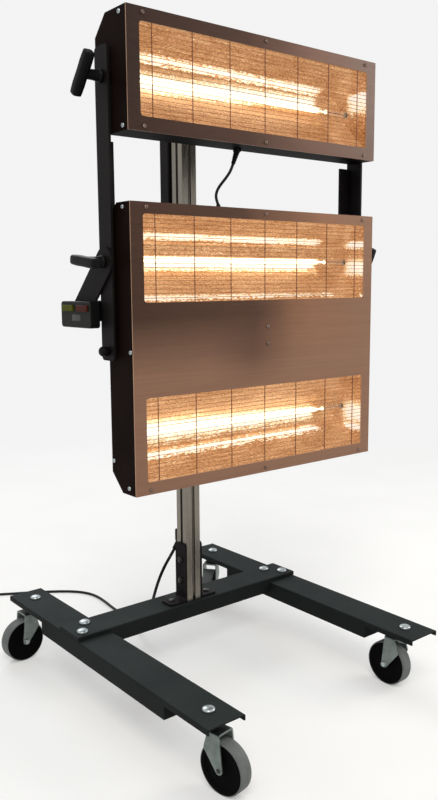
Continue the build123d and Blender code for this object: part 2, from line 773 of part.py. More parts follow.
def reflector(z, side):
    """Folded trough with end walls, a hole in each for the lamp, and a lip behind the guard.

    Its steep flank lies on the side of the window that faces away from the other lamps.
    """
    half_z = window_height / 2
    inner = outline((0, half_z), (fold_depth, fold_height), (trough_depth, back_high),
                    (trough_depth, -back_low), (0, -half_z))
    bends = inner.vertices().sort_by(Axis.X)[2:]
    inner = fillet(bends, fold_radius)
    outer = offset(inner, reflector_sheet, kind=Kind.INTERSECTION) & Pos(trough_depth, 0) * (
        Rectangle(2 * trough_depth, 2 * window_height))
    end = trough_half + reflector_sheet
    trough = across(outer, -end, end) - across(inner, -trough_half, trough_half)
    reach_x, reach_z = trough_half + reflector_lip, half_z + reflector_lip
    lip = Rectangle(2 * reach_x, 2 * reach_z) - Rectangle(2 * trough_half, 2 * half_z)
    trough += extrude(Plane.XZ * lip, -reflector_sheet)
    trough -= bar((-end, lamp_y - reflector_y, 0), (1, 0, 0), 2 * end, lamp_radius + lamp_room)
    if side < 0:
        trough = mirror(trough, Plane.XY)
    return Pos(0, reflector_y, z) * trough


def lamp(z):
    """Quartz tube closed at both ends, and its filament between two straight lead-ins."""
    tube = bar((-lamp_half, lamp_y, z), (1, 0, 0), 2 * lamp_half, lamp_radius)
    tube = chamfer(tube.edges(), lamp_radius / 3)
    inner, hollow = lamp_radius - lamp_wall, lamp_half - seal_length
    tube -= bar((-hollow, lamp_y, z), (1, 0, 0), 2 * hollow, inner)
    wire = rod((-hollow, lamp_y, z), (1, 0, 0), 2 * hollow, lead_in_radius)
    for x0, x1, radius in ((filament_left, filament_right, filament_radius),
                           (lead_in_disc, lead_in_disc + 1, inner - running)):
        wire += rod((x0, lamp_y, z), (1, 0, 0), x1 - x0, radius)
    return [tube, wire]


def holder(z):
    """Ceramic block behind the trough's right end wall that takes the end of the lamp."""
    wall = trough_half + reflector_sheet + play
    plan = Rectangle(holder_width, holder_height) - Circle(lamp_radius + slack)
    return across(Pos(lamp_y, z) * plan, wall, lamp_half + holder_cover)


def holders(z):
    right = holder(z)
    return [right, mirror(right, Plane.YZ)]


def cassette_screws(low, height, middle_screws, end_screws):
    """Pan heads along the front sheet's long edges, on its middle and on the end plates."""
    places = [(x, z) for z in (screw_inset, height - screw_inset)
              for x in (-screw_reach, 0, screw_reach)]
    heads = [pan_head((x, front_y, low + z), (0, -1, 0)) for x, z in (*places, *middle_screws)]
    heads += [
        pan_head((side * half_width, front_y + y, low + z), (side, 0, 0))
        for side in (-1, 1)
        for y, z in end_screws
    ]
    return group(*heads)


# ---------------------------------------------------------------- leads


def gland(seat, normal, way):
    """Cable gland: a round nut on a sheet and a tapered sleeve that leans off the nut's axis."""
    nut = bar(seat, normal, gland_nut, gland_radius)
    return nut + cone(gland_foot(seat, normal), way, gland_length, gland_radius - 2.5,
                      lead_radius + 1)


def gland_foot(seat, normal):
    return Vector(seat) + Vector(normal).normalized() * 0.6 * gland_nut


def gland_tip(seat, normal, way):
    return gland_foot(seat, normal) + Vector(way).normalized() * gland_length


def round_path(points, share=0.45):
    """Straight runs joined by arcs as large as their runs allow, with the arcs' radii."""
    corners = [Vector(point) for point in points]
    radii = []
    for before, corner, after in zip(corners, corners[1:], corners[2:]):
        run, next_run = corner - before, after - corner
        turn = radians(run.get_angle(next_run))
        radii.append(share * min(run.length, next_run.length) / tan(turn / 2))
    return FilletPolyline(*corners, radius=radii), radii


def tube(points, radius, name):
    path, radii = round_path(points)
    start = Plane(origin=path @ 0, z_dir=path % 0)
    body = sweep(start * Circle(radius), path=path)
    section = pi * radius**2
    print(name, "length", round(path.length), "radii", [round(r) for r in radii],
          "volume ratio", round(body.volume / (section * path.length), 4))
    return body


def cord_outlet():
    """Clip in the mast's rear slot with a tapered sleeve that lets the mains cord out."""
    half = outlet_size / 2
    body = block(-half, half, mast_half, outlet_back, outlet_low, outlet_low + outlet_height)
    body = fillet(body.edges().filter_by(Axis.Z).group_by(Axis.Y)[-1], 4)
    return body + cone(outlet_seat, outlet_way, outlet_length, nozzle_root, nozzle_tip)


def cord_coil():
    """Outer shape of the coil in which the rest of the mains cord lies, and the cord's tail."""
    section = Rectangle(coil_width, coil_height)
    section = Pos(coil_mid_radius, coil_height / 2) * chamfer(section.vertices(), coil_width / 5)
    ring = Pos(*coil_place) * revolve(Plane.XZ * section, Axis.Z)
    start, way = cord_tail()
    return ring + bar(start, way, tail_length, cord_radius)


def cord_tail():
    """Point where the coil's outer turn, wound clockwise, runs off to the plug, and its way."""
    angle = radians(tail_angle)
    turn = coil_mid_radius + coil_width / 2 - cord_radius
    start = Vector(*coil_place) + Vector(turn * cos(angle), turn * sin(angle), plug_radius)
    return start, Vector(sin(angle), -cos(angle))


def mains_plug():
    """Round two-pin plug with a tapered grip, at the end of the cord's tail."""
    start, way = cord_tail()
    back = start + way * tail_length
    grip = cone(back, way, plug_grip, cord_radius + 1.5, plug_radius - 4)
    face = back + way * plug_grip
    body = bar(face, way, plug_length, plug_radius)
    body = chamfer(body.edges(), 3)
    side = way.rotate(Axis.Z, 90) * pin_spread
    pins = [bar(face + way * plug_length + shift, way, pin_length, pin_radius)
            for shift in (side, side * -1)]
    return grip + body + pins[0] + pins[1]


cord_points = [
    tuple(outlet_end), tuple(outlet_end + Vector(outlet_way).normalized() * 22),
    (-35, 49, 231), (-45, 62, 204), (-50, 76, 173), (-51, 89, 140), (-49, 103, 107),
    (-45, 119, 74), (-39, 141, 44), (-31, 171, 20), (-21, 207, 7), (-10, 247, cord_radius),
    (1, 291, cord_radius), (8, 338, cord_radius), (12, 386, cord_radius),
    (18, 432, cord_radius), (21, 475, cord_radius), (16, 514, cord_radius),
    (-2, 549, cord_radius), (-32, 579, cord_radius), (-70, 607, cord_radius),
    (-112, 634, cord_radius), (-158, 660, cord_radius), (-200, 686, cord_radius),
    (-243, 707, cord_radius), (-285, 723, cord_radius), (-325.2, 737.5, cord_radius),
]
upper_tip = gland_tip(*upper_gland_place)
lower_tip = gland_tip(*lower_gland_place)
lead_points = [
    tuple(upper_tip), tuple(upper_tip + Vector(upper_gland_place[2]).normalized() * 12),
    (-52, -221.5, 1128), (-55.4, -213.4, 1116.5), (-58.4, -204.8, 1105.5), (-61, -199.5, 1093.5),
    tuple(lower_tip + Vector(lower_gland_place[2]).normalized() * 11), tuple(lower_tip),
]


def cassette_parts(prefix, low, height, depth, windows, screws, middle_screws, end_screws):
    middles = [(low + window, 1 if window >= height / 2 else -1) for window in windows]
    many = "s" if len(windows) > 1 else ""
    return {
        f"{prefix}_housing": housing(low, height, depth),
        f"{prefix}_end_caps": end_caps(low, height, depth, screws),
        f"{prefix}_front": front_frame(low, height, [z for z, _ in middles]),
        f"{prefix}_grille{many}": group(*[wire for z, _ in middles for wire in grille(z)]),
        f"{prefix}_reflector{many}": group(*[reflector(z, side) for z, side in middles]),
        f"{prefix}_lamp{many}": group(*[piece for z, _ in middles for piece in lamp(z)]),
        f"{prefix}_holders": group(*[piece for z, _ in middles for piece in holders(z)]),
        f"{prefix}_screws": cassette_screws(low, height, middle_screws, end_screws),
    }


nodes = {
    "left_leg": leg(-1),
    "right_leg": leg(1),
    "cross_member": cross_member(),
    "base_bolts": base_bolts(),
    "base_nuts": base_nuts(),
    "caster_races": caster_races(),
    "mast": mast(),
    "mast_cap": mast_cap(),
    "foot_brackets": group(foot_bracket(-1), foot_bracket(1)),
    "cord_outlet": cord_outlet(),
    "mains_cord": tube(cord_points, cord_radius, "mains cord"),
    "cord_coil": cord_coil(),
    "mains_plug": mains_plug(),
}
for corner, (x, y) in casters.items():
    stand = Pos(x, y, 0) * Rot(0, 0, -headings[corner])
    nodes[f"{corner}_fork"] = stand * fork()
    nodes[f"{corner}_wheel"] = stand * wheel()
    nodes[f"{corner}_tyre"] = stand * tyre()
nodes |= {
    "carriage_spine": carriage_spine(),
    "carriage_bracket": carriage_bracket(),
    "glide_pads": glide_pads(),
    "carriage_bolts": carriage_bolts(),
    "clamp_knob": clamp_knob(),
    "yoke": yoke(),
    "control_box": control_box(),
}
nodes |= {name: button(y) for name, y in switch_places.items()}
nodes |= {
    "left_arm": head_arm(-1),
    "right_arm": head_arm(1),
    "arm_bolts": arm_bolts(),
    "left_tilt_handle": tee_handle(-1, yoke_out, pivot_z, 83),
    "right_tilt_handle": tee_handle(1, yoke_out, pivot_z, -25),
    "upper_tilt_handle": tee_handle(-1, arm_out, upper_pivot_z, -40),
    "upper_pivot": upper_pivot(),
    "lower_gland": gland(*lower_gland_place),
    "upper_gland": gland(*upper_gland_place),
    "lamp_lead": tube(lead_points, lead_radius, "lamp lead"),
}
nodes |= cassette_parts("lower", lower_z, lower_height, lower_depth, lower_windows,
                        ((pivot_z, m10 + play), (arm_bolt_z, m8 + slack)),
                        [(middle_screw_x, lower_height / 2 + rise)
                         for rise in (0, middle_screw_pitch)], lower_end_screws)
nodes |= cassette_parts("upper", upper_z, upper_height, upper_depth, (upper_window,),
                        ((upper_pivot_z, m10 + play),), [], upper_end_screws)

# ---------------------------------------------------------------- frame

loose = ("mains_cord", "cord_coil", "mains_plug")
boxes = [shape.bounding_box() for name, shape in nodes.items() if name not in loose]
origin = Vector(
    (min(box.min.X for box in boxes) + max(box.max.X for box in boxes)) / 2,
    (min(box.min.Y for box in boxes) + max(box.max.Y for box in boxes)) / 2,
)
print("origin from the mast's axis", origin, "height", max(box.max.Z for box in boxes))

os.makedirs("parts", exist_ok=True)
for name, shape in nodes.items():
    export_step(Pos(*(origin * -1)) * shape, f"parts/{name}.step")
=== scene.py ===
import bmesh
import bpy
import math
from mathutils import Matrix, Vector, geometry


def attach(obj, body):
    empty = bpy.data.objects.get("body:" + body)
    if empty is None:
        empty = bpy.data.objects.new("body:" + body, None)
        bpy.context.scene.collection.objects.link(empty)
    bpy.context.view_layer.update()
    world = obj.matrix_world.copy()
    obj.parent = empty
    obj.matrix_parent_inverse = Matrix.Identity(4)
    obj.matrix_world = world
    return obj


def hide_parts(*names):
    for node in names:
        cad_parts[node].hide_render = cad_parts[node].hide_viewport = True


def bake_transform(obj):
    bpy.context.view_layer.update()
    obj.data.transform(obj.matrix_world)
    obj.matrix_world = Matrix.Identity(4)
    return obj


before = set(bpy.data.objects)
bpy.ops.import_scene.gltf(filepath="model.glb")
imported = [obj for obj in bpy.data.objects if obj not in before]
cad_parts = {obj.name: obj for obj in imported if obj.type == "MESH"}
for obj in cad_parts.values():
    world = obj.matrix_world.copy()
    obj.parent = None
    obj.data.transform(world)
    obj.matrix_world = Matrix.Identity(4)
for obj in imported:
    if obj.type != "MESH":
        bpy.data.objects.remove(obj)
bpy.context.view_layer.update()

# Infrared heater tower. The CAD nodes keep their shapes and get their finishes here, and
# turned, moulded and wound pieces are made again with finer shapes.
# Z is up and the lamps face -Y. Pieces are given in millimetres from the mast's axis, and the
# studio and the places in materials in metres of the frame.
mastAxis = Vector((0.0, 0.104815, 0.0))      # the mast's axis in this frame


def at(x, y, z):
    return Vector((x, y, z)) * 0.001 + mastAxis


# camera at the photo's place
photoCamera = {
    "place": (-1133.4, -1531.3, 914.0),
    "heading": 0.677,                        # from +Y towards +X, in radians
    "tiltDown": 0.143,
    "roll": 0.007,
    "focalPixels": 816.82,
    "frameHeight": 800,                      # also in pixels
    "sensorHeight": 36,
    "clipEnd": 60,                           # in metres
}


def makeCamera(look):
    heading, down, roll = look["heading"], look["tiltDown"], look["roll"]
    forward = Vector((math.sin(heading) * math.cos(down), math.cos(heading) * math.cos(down),
                      -math.sin(down)))
    right = Vector((math.cos(heading), -math.sin(heading), 0))
    below = forward.cross(right)
    rolledRight = right * math.cos(roll) + below * math.sin(roll)
    rolledBelow = below * math.cos(roll) - right * math.sin(roll)
    data = bpy.data.cameras.new("photoCamera")
    data.sensor_fit = "VERTICAL"
    data.sensor_height = look["sensorHeight"]
    data.lens = look["focalPixels"] / look["frameHeight"] * look["sensorHeight"]
    data.clip_end = look["clipEnd"]
    camera = bpy.data.objects.new("photoCamera", data)
    bpy.context.scene.collection.objects.link(camera)
    axes = Matrix((rolledRight, -rolledBelow, -forward)).transposed()
    camera.matrix_world = Matrix.Translation(at(*look["place"])) @ axes.to_4x4()
    bpy.context.scene.camera = camera


makeCamera(photoCamera)
bpy.context.scene.view_settings.view_transform = "Standard"
print("camera placed")


# the mains cord and the lead between the heaters come before everything else
mainsCord = {
    "diameter": 7.5,
    "length": 5.03,                          # metres, with the coil
    "outletEnd": (-17.04, 36.11, 271.03),
    "route": [(-28.07, 39.42, 252.28), (-34, 49, 233), (-40, 61, 206), (-44, 74, 174),
              (-45, 88, 140), (-44, 102, 106), (-42, 118, 73), (-37, 141, 43), (-31, 171, 20),
              (-21, 207, 7), (-10, 247, 3.75), (1, 291, 3.75), (8, 338, 3.75),
              (12, 386, 3.75), (18, 432, 3.75), (21, 475, 3.75), (16, 514, 3.75),
              (-2, 549, 3.75), (-32, 579, 3.75), (-70, 607, 3.75), (-112, 634, 3.75),
              (-158, 660, 3.75), (-200, 686, 3.75), (-243, 707, 3.75), (-285, 723, 3.75)],
    "coilMiddle": (-305, 790),
    "coilStart": -111.1,                     # where the cord joins the coil, in degrees
    "coilEnd": 233.0,                        # where it leaves for the plug
    "turns": [(56.25, 3.75), (48.75, 3.75), (41.25, 3.75), (33.75, 3.75),    # radius, height
              (37.5, 10.25), (45, 10.25), (52.5, 10.25),
              (48.75, 16.75), (41.25, 16.75), (33.75, 16.75),
              (37.5, 23.25), (45, 23.25), (52.5, 23.25), (56.25, 17)],
    "pointsPerTurn": 12,
    "shift": 1 / 6,                          # part of a turn that moves over to the next one
    "tail": (15.6, 26, 36),                  # places along the straight end at the plug
}
cordLine = {"order": 3, "steps": 8, "roundness": 5}     # fineness of the line and its section


def splineObject(name, points, radius=0.001):
    # a smooth line guided by points and a radius in metres
    curve = bpy.data.curves.new(name, "CURVE")
    curve.dimensions = "3D"
    line = curve.splines.new("NURBS")
    line.points.add(len(points) - 1)
    for control, point in zip(line.points, points):
        control.co = (*point, 1)
        control.radius = radius
    line.order_u = cordLine["order"]
    line.use_endpoint_u = True
    line.resolution_u = cordLine["steps"]
    piece = bpy.data.objects.new(name, curve)
    bpy.context.scene.collection.objects.link(piece)
    return piece


def coilPoints(look):
    # clockwise turns, each moving to the next one's radius and height in its last part
    turns, (midX, midY) = look["turns"], look["coilMiddle"]
    sweep = 360 * len(turns) + (look["coilStart"] - look["coilEnd"] + 180) % 360 - 180
    count = round(sweep / 360 * look["pointsPerTurn"])
    step = sweep / count
    swell = 1 / (0.75 + 0.25 * math.cos(math.radians(step)))    # the line runs inside its points
    points = []
    for index in range(count + 1):
        done = max((index - 0.5) * step / 360, 0)
        turn = min(int(done), len(turns) - 1)
        share = min(max((done - turn - 1) / look["shift"] + 1, 0), 1)
        share = share * share * (3 - 2 * share)
        radius, height = [here + (there - here) * share for here, there
                          in zip(turns[turn], turns[min(turn + 1, len(turns) - 1)])]
        angle = math.radians(look["coilStart"] - (index - 0.5) * step)
        points.append((midX + radius * swell * math.cos(angle),
                       midY + radius * swell * math.sin(angle), height))
    return points


def coilTail(look):
    angle = math.radians(look["coilEnd"])
    radius, height = look["turns"][-1]
    start = Vector((look["coilMiddle"][0] + radius * math.cos(angle),
                    look["coilMiddle"][1] + radius * math.sin(angle), height))
    return start, Vector((math.sin(angle), -math.cos(angle), 0))


def makeMainsCord(look):
    tailStart, tailWay = coilTail(look)
    points = [look["outletEnd"], *look["route"], *coilPoints(look)]
    points += [tuple(tailStart + tailWay * run) for run in look["tail"]]
    piece = splineObject("mainsCord", [at(*point) for point in points], look["diameter"] / 2000)
    piece.data.bevel_depth = 1.0             # the points' radius carries the thickness
    piece.data.bevel_resolution = cordLine["roundness"]
    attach(piece, "base")
    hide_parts("mains_cord", "cord_coil")
    return piece


lampLead = {
    "diameter": 6,
    "length": 0.09,                          # metres, between the glands
    "points": [(-43.77, -226, 1150.47), (-48.4, -226, 1139.33), (-53.4, -221.5, 1128),
               (-59, -213.4, 1116.5), (-64, -204.8, 1105.5), (-67, -199.5, 1093.5),
               (-66, -198.42, 1081.64), (-63.55, -201.73, 1071.17)],
}


def linePoints(piece):
    # the points of a line as it is drawn, in metres
    graph = bpy.context.evaluated_depsgraph_get()
    mesh = bpy.data.meshes.new_from_object(piece.evaluated_get(graph))
    points = [piece.matrix_world @ vertex.co for vertex in mesh.vertices]
    bpy.data.meshes.remove(mesh)
    return points


def anglesRound(sides):
    return [2 * math.pi * k / sides for k in range(sides)]


def joinRings(mesh, lower, upper, index=0):
    # faces between two rings of points, of which one may be a single point
    count = max(len(lower), len(upper))
    for k in range(count):
        n = (k + 1) % count
        corners = [lower[k % len(lower)], lower[n % len(lower)],
                   upper[n % len(upper)], upper[k % len(upper)]]
        corners = [c for i, c in enumerate(corners) if c not in corners[:i]]
        mesh.faces.new(corners).material_index = index


def sweptTube(mesh, points, radius, sides=12):
    # a ring of the radius in metres round each point, square to the line there
    across = (points[1] - points[0]).normalized().orthogonal()
    rings = []
    for index, point in enumerate(points):
        way = (points[min(index + 1, len(points) - 1)] - points[max(index - 1, 0)]).normalized()
        across = (across - way * across.dot(way)).normalized()
        side = way.cross(across)
        rings.append([mesh.verts.new(point + (across * math.cos(turn) + side * math.sin(turn))
                                     * radius) for turn in anglesRound(sides)])
    for lower, upper in zip(rings, rings[1:]):
        joinRings(mesh, lower, upper)
    mesh.faces.new(rings[0][::-1])
    mesh.faces.new(rings[-1])


meshing = {"weld": 1e-7, "crease": 38}       # metres, degrees


def shownPiece(name, mesh, crease=meshing["crease"]):
    # the built mesh as an object, smooth apart from its sharp edges
    bmesh.ops.remove_doubles(mesh, verts=mesh.verts, dist=meshing["weld"])
    bmesh.ops.recalc_face_normals(mesh, faces=mesh.faces)
    data = bpy.data.meshes.new(name)
    mesh.to_mesh(data)
    mesh.free()
    data.polygons.foreach_set("use_smooth", [True] * len(data.polygons))
    data.set_sharp_from_angle(angle=math.radians(crease))
    piece = bpy.data.objects.new(name, data)
    bpy.context.scene.collection.objects.link(piece)
    return piece


def makeLampLead(look):
    guide = splineObject("lampLeadGuide", [at(*point) for point in look["points"]])
    bpy.context.view_layer.update()
    points = linePoints(guide)
    bpy.data.objects.remove(guide)
    mesh = bmesh.new()
    sweptTube(mesh, points, look["diameter"] / 2000)
    piece = shownPiece("lampLead", mesh)
    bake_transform(piece)
    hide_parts("lamp_lead")
    return piece


cordPiece = makeMainsCord(mainsCord)
leadPiece = makeLampLead(lampLead)
print("cords laid")


# material helpers; places and reaches in them are metres
def addNode(tree, kind, **settings):
    node = tree.nodes.new(kind)
    for key, value in settings.items():
        setattr(node, key, value)
    return node


def linear(hexColour):
    channels = [int(hexColour[i:i + 2], 16) / 255 for i in (1, 3, 5)]
    return [c / 12.92 if c <= 0.04045 else ((c + 0.055) / 1.055) ** 2.4 for c in channels] + [1]


def newMaterial(name):
    material = bpy.data.materials.new(name)
    material.use_nodes = True
    return material, material.node_tree, material.node_tree.nodes["Principled BSDF"]


noiseRoughness = 0.55


def placedNoise(tree, scale, stretch=(1, 1, 1), detail=4):
    # noise fixed to the piece, with its grain per metre
    place = addNode(tree, "ShaderNodeTexCoord")
    mapping = addNode(tree, "ShaderNodeMapping")
    mapping.inputs["Scale"].default_value = stretch
    tree.links.new(place.outputs["Object"], mapping.inputs["Vector"])
    noise = addNode(tree, "ShaderNodeTexNoise")
    noise.inputs["Scale"].default_value = scale
    noise.inputs["Detail"].default_value = detail
    noise.inputs["Roughness"].default_value = noiseRoughness
    tree.links.new(mapping.outputs["Vector"], noise.inputs["Vector"])
    return noise.outputs["Fac"]


def ramp(tree, source, stops):
    node = addNode(tree, "ShaderNodeValToRGB")
    band = node.color_ramp
    while len(band.elements) < len(stops):
        band.elements.new(0.5)
    for element, (place, colour) in zip(band.elements, stops):
        element.position = place
        element.color = linear(colour)
    tree.links.new(source, node.inputs["Fac"])
    return node.outputs["Color"]


def twoTone(tree, source, dark, light, start=0.3, end=0.7):
    return ramp(tree, source, [(start, dark), (end, light)])


def spread(tree, source, low, high, start=0.3, end=0.7):
    # low to high while the source runs from start to end
    node = addNode(tree, "ShaderNodeMapRange")
    for name, value in (("From Min", start), ("From Max", end), ("To Min", low),
                        ("To Max", high)):
        node.inputs[name].default_value = value
    tree.links.new(source, node.inputs["Value"])
    return node.outputs["Result"]


def maths(tree, kind, first, second):
    node = addNode(tree, "ShaderNodeMath", operation=kind)
    for socket, value in zip(node.inputs, (first, second)):
        if isinstance(value, (int, float)):
            socket.default_value = value
        else:
            tree.links.new(value, socket)
    return node.outputs[0]


def times(tree, first, second):
    return maths(tree, "MULTIPLY", first, second)


def plus(tree, first, *others):
    for other in others:
        first = maths(tree, "ADD", first, other)
    return first


def blended(tree, share, first, second):
    # the colour first, turning to second with the share
    node = addNode(tree, "ShaderNodeMix", data_type="RGBA")
    for socket, value in zip((node.inputs[0], node.inputs[6], node.inputs[7]),
                             (share, first, second)):
        if isinstance(value, str):
            socket.default_value = linear(value)
        elif isinstance(value, (int, float)):
            socket.default_value = value
        else:
            tree.links.new(value, socket)
    return node.outputs[2]


def coordinate(tree, kind, axis):
    source = addNode(tree, "ShaderNodeTexCoord")
    split = addNode(tree, "ShaderNodeSeparateXYZ")
    tree.links.new(source.outputs[kind], split.inputs[0])
    return split.outputs[axis]


def placeAlong(tree, axis):
    return coordinate(tree, "Object", axis)


def facing(tree, axis):
    return coordinate(tree, "Normal", axis)


def alongAxis(tree, axis, start, end):
    # 0 to 1 between two places along an axis of the frame
    return spread(tree, placeAlong(tree, axis), 0, 1, start, end)


bandFade = (0.45, 1.35)          # shares of a band's half height between which it fades


def levelBand(tree, height, tilt, reach, taper, fromX, toX, soft, sway=0):
    # 1 on a level line that may tilt and narrow along x, fading to 0 at its edges
    along = placeAlong(tree, 0)
    line = plus(tree, times(tree, along, tilt), height)
    off = plus(tree, maths(tree, "SUBTRACT", placeAlong(tree, 2), line), sway)
    wide = plus(tree, times(tree, along, taper), reach)
    off = maths(tree, "DIVIDE", maths(tree, "ABSOLUTE", off, 0), wide)
    inside = times(tree, spread(tree, along, 0, 1, fromX - soft, fromX + soft),
                   spread(tree, along, 1, 0, toX - soft, toX + soft))
    return times(tree, spread(tree, off, 1, 0, *bandFade), inside)


def softEdges(tree, radius):
    node = addNode(tree, "ShaderNodeBevel", samples=4)
    node.inputs["Radius"].default_value = radius
    return node.outputs["Normal"]


edgeFadeCosines = (0.8, 0.99)           # cosines between which an edge's wear and painted highlight fade


def edgeMask(tree, radius):
    # 1 along edges and 0 on flats, from how far a rounded normal turns
    surface = addNode(tree, "ShaderNodeNewGeometry")
    dot = addNode(tree, "ShaderNodeVectorMath", operation="DOT_PRODUCT")
    tree.links.new(softEdges(tree, radius), dot.inputs[0])
    tree.links.new(surface.outputs["Normal"], dot.inputs[1])
    return spread(tree, dot.outputs["Value"], 1, 0, *edgeFadeCosines)


def bump(tree, source, shader, strength, depth, edge=0):
    node = addNode(tree, "ShaderNodeBump")
    node.inputs["Strength"].default_value = strength
    node.inputs["Distance"].default_value = depth
    tree.links.new(source, node.inputs["Height"])
    if edge:
        tree.links.new(softEdges(tree, edge), node.inputs["Normal"])
    tree.links.new(node.outputs["Normal"], shader.inputs["Normal"])


studio = {
    "floorHalf": 12.0,
    "floorTones": ("#dededc", "#e4e4e2"),
    "floorGrain": (3, (1, 1, 1), 3),             # per metre, its stretch and detail
    "floorRoughness": 0.8, "floorSheen": 0.1,
    "floorGlow": 0.27,           # tone added to the floor where it is seen
    "floorFadeFrom": 1.1, "floorFadeTo": 3.2,    # where the floor turns into the backdrop
    "backdropTone": 0.90,        # what the camera sees behind the object
    "fillLevel": 0.5,            # light that comes evenly from all round
    "lamps": [                   # name, place, aim, size, watts, tint
        ("keyLamp", (-1.9, -2.5, 3.9), (0, 0, 0.7), 2.2, 80, (1.0, 0.98, 0.95)),
        ("sideLamp", (3.2, -1.4, 2.0), (0, 0, 0.8), 2.0, 40, (1.0, 0.95, 0.9)),
        ("backLamp", (0.6, 3.4, 3.0), (0, 0, 0.9), 2.4, 42, (0.95, 0.97, 1.0)),
    ],
}


def makeStudio(look):
    half = look["floorHalf"]
    mesh = bpy.data.meshes.new("studioFloor")
    mesh.from_pydata([(-half, -half, 0), (half, -half, 0), (half, half, 0), (-half, half, 0)],
                     [], [(0, 1, 2, 3)])
    floor = bpy.data.objects.new("studioFloor", mesh)
    bpy.context.scene.collection.objects.link(floor)
    floorFinish(look, floor)
    for name, place, aim, size, watts, tint in look["lamps"]:
        data = bpy.data.lights.new(name, "AREA")
        data.shape = "DISK"
        data.size = size
        data.energy = watts
        data.color = tint
        lamp = bpy.data.objects.new(name, data)
        lamp.location = place
        lamp.rotation_euler = (Vector(aim) - Vector(place)).to_track_quat("-Z", "Y").to_euler()
        bpy.context.scene.collection.objects.link(lamp)


def cleanRays(tree):
    # camera, mirror and see-through rays, which show the pale backdrop
    path = addNode(tree, "ShaderNodeLightPath")
    total = path.outputs["Is Camera Ray"]
    for name in ("Is Glossy Ray", "Is Transmission Ray"):
        total = maths(tree, "MAXIMUM", total, path.outputs[name])
    return total


def mixShaders(tree, share, first, second, out):
    mix = addNode(tree, "ShaderNodeMixShader")
    for socket, source in zip(mix.inputs, (share, first.outputs[0], second.outputs[0])):
        tree.links.new(source, socket)
    tree.links.new(mix.outputs[0], out.inputs["Surface"])


def makeWorld(look):
    world = bpy.data.worlds.new("paleStudio")
    bpy.context.scene.world = world
    world.use_nodes = True
    tree = world.node_tree
    tree.nodes.clear()
    light = addNode(tree, "ShaderNodeBackground")
    light.inputs["Color"].default_value = (1, 1, 1, 1)
    light.inputs["Strength"].default_value = look["fillLevel"]
    shown = addNode(tree, "ShaderNodeBackground")
    shown.inputs["Color"].default_value = (*[look["backdropTone"]] * 3, 1)
    shown.inputs["Strength"].default_value = 1
    mixShaders(tree, cleanRays(tree), light, shown, addNode(tree, "ShaderNodeOutputWorld"))


def floorFinish(look, floor):
    # lit floor near the object, which turns into the backdrop's tone farther out
    material, tree, shader = newMaterial("paleFloor")
    tree.links.new(twoTone(tree, placedNoise(tree, *look["floorGrain"]), *look["floorTones"]),
                   shader.inputs["Base Color"])
    shader.inputs["Roughness"].default_value = look["floorRoughness"]
    shader.inputs["Specular IOR Level"].default_value = look["floorSheen"]
    seen = cleanRays(tree)
    shader.inputs["Emission Color"].default_value = (1, 1, 1, 1)
    tree.links.new(times(tree, seen, look["floorGlow"]), shader.inputs["Emission Strength"])
    place = addNode(tree, "ShaderNodeTexCoord")
    out = addNode(tree, "ShaderNodeVectorMath", operation="LENGTH")
    tree.links.new(place.outputs["Object"], out.inputs[0])
    far = spread(tree, out.outputs["Value"], 0, 1, look["floorFadeFrom"], look["floorFadeTo"])
    plain = addNode(tree, "ShaderNodeEmission")
    plain.inputs["Color"].default_value = (*[look["backdropTone"]] * 3, 1)
    mixShaders(tree, times(tree, seen, far), shader, plain, tree.nodes["Material Output"])
    floor.data.materials.append(material)


makeStudio(studio)
makeWorld(studio)
print("studio lit")


coatDefaults = {
    "stretch": (1, 1, 1),
    "patch": 9,                  # broad changes of tone per metre
    "speck": 0.12,               # share of the grain's own tone
    "edgeReach": 0.0014,
    "edgeGrain": 60,             # breaks in the edges' wear and painted highlight per metre
    "metallic": 0,
    "sheen": 0.5,
    "bump": 0.2,
    "bumpDepth": 0.0003,
    "softEdge": 0.0006,
}


def coated(name, own):
    # broad tone changes, a fine grain in gloss and bump, and edges turned to a lighter tone, partly
    # as wear and partly as a painted highlight
    look = {**coatDefaults, **own}
    material, tree, shader = newMaterial(name)
    broad = placedNoise(tree, look["patch"], look["stretch"])
    fine = placedNoise(tree, look["grain"], look["stretch"], detail=2)
    dark, light = look["colours"]
    colour = blended(tree, spread(tree, fine, 0, look["speck"]), twoTone(tree, broad, dark, light),
                     look.get("speckTone", light))
    # edges lighter in broken patches: partly wear, partly a painted highlight
    if "wearAndHighlightTone" in look:
        broken = spread(tree, placedNoise(tree, look["edgeGrain"], detail=3), 0.1, 0.9)
        wornAndHighlit = times(tree, edgeMask(tree, look["edgeReach"]), broken)
        colour = blended(tree, wornAndHighlit, colour, look["wearAndHighlightTone"])
    tree.links.new(colour, shader.inputs["Base Color"])
    tree.links.new(spread(tree, fine, *look["roughness"]), shader.inputs["Roughness"])
    shader.inputs["Metallic"].default_value = look["metallic"]
    shader.inputs["Specular IOR Level"].default_value = look["sheen"]
    bump(tree, fine, shader, look["bump"], look["bumpDepth"], look["softEdge"])
    return material


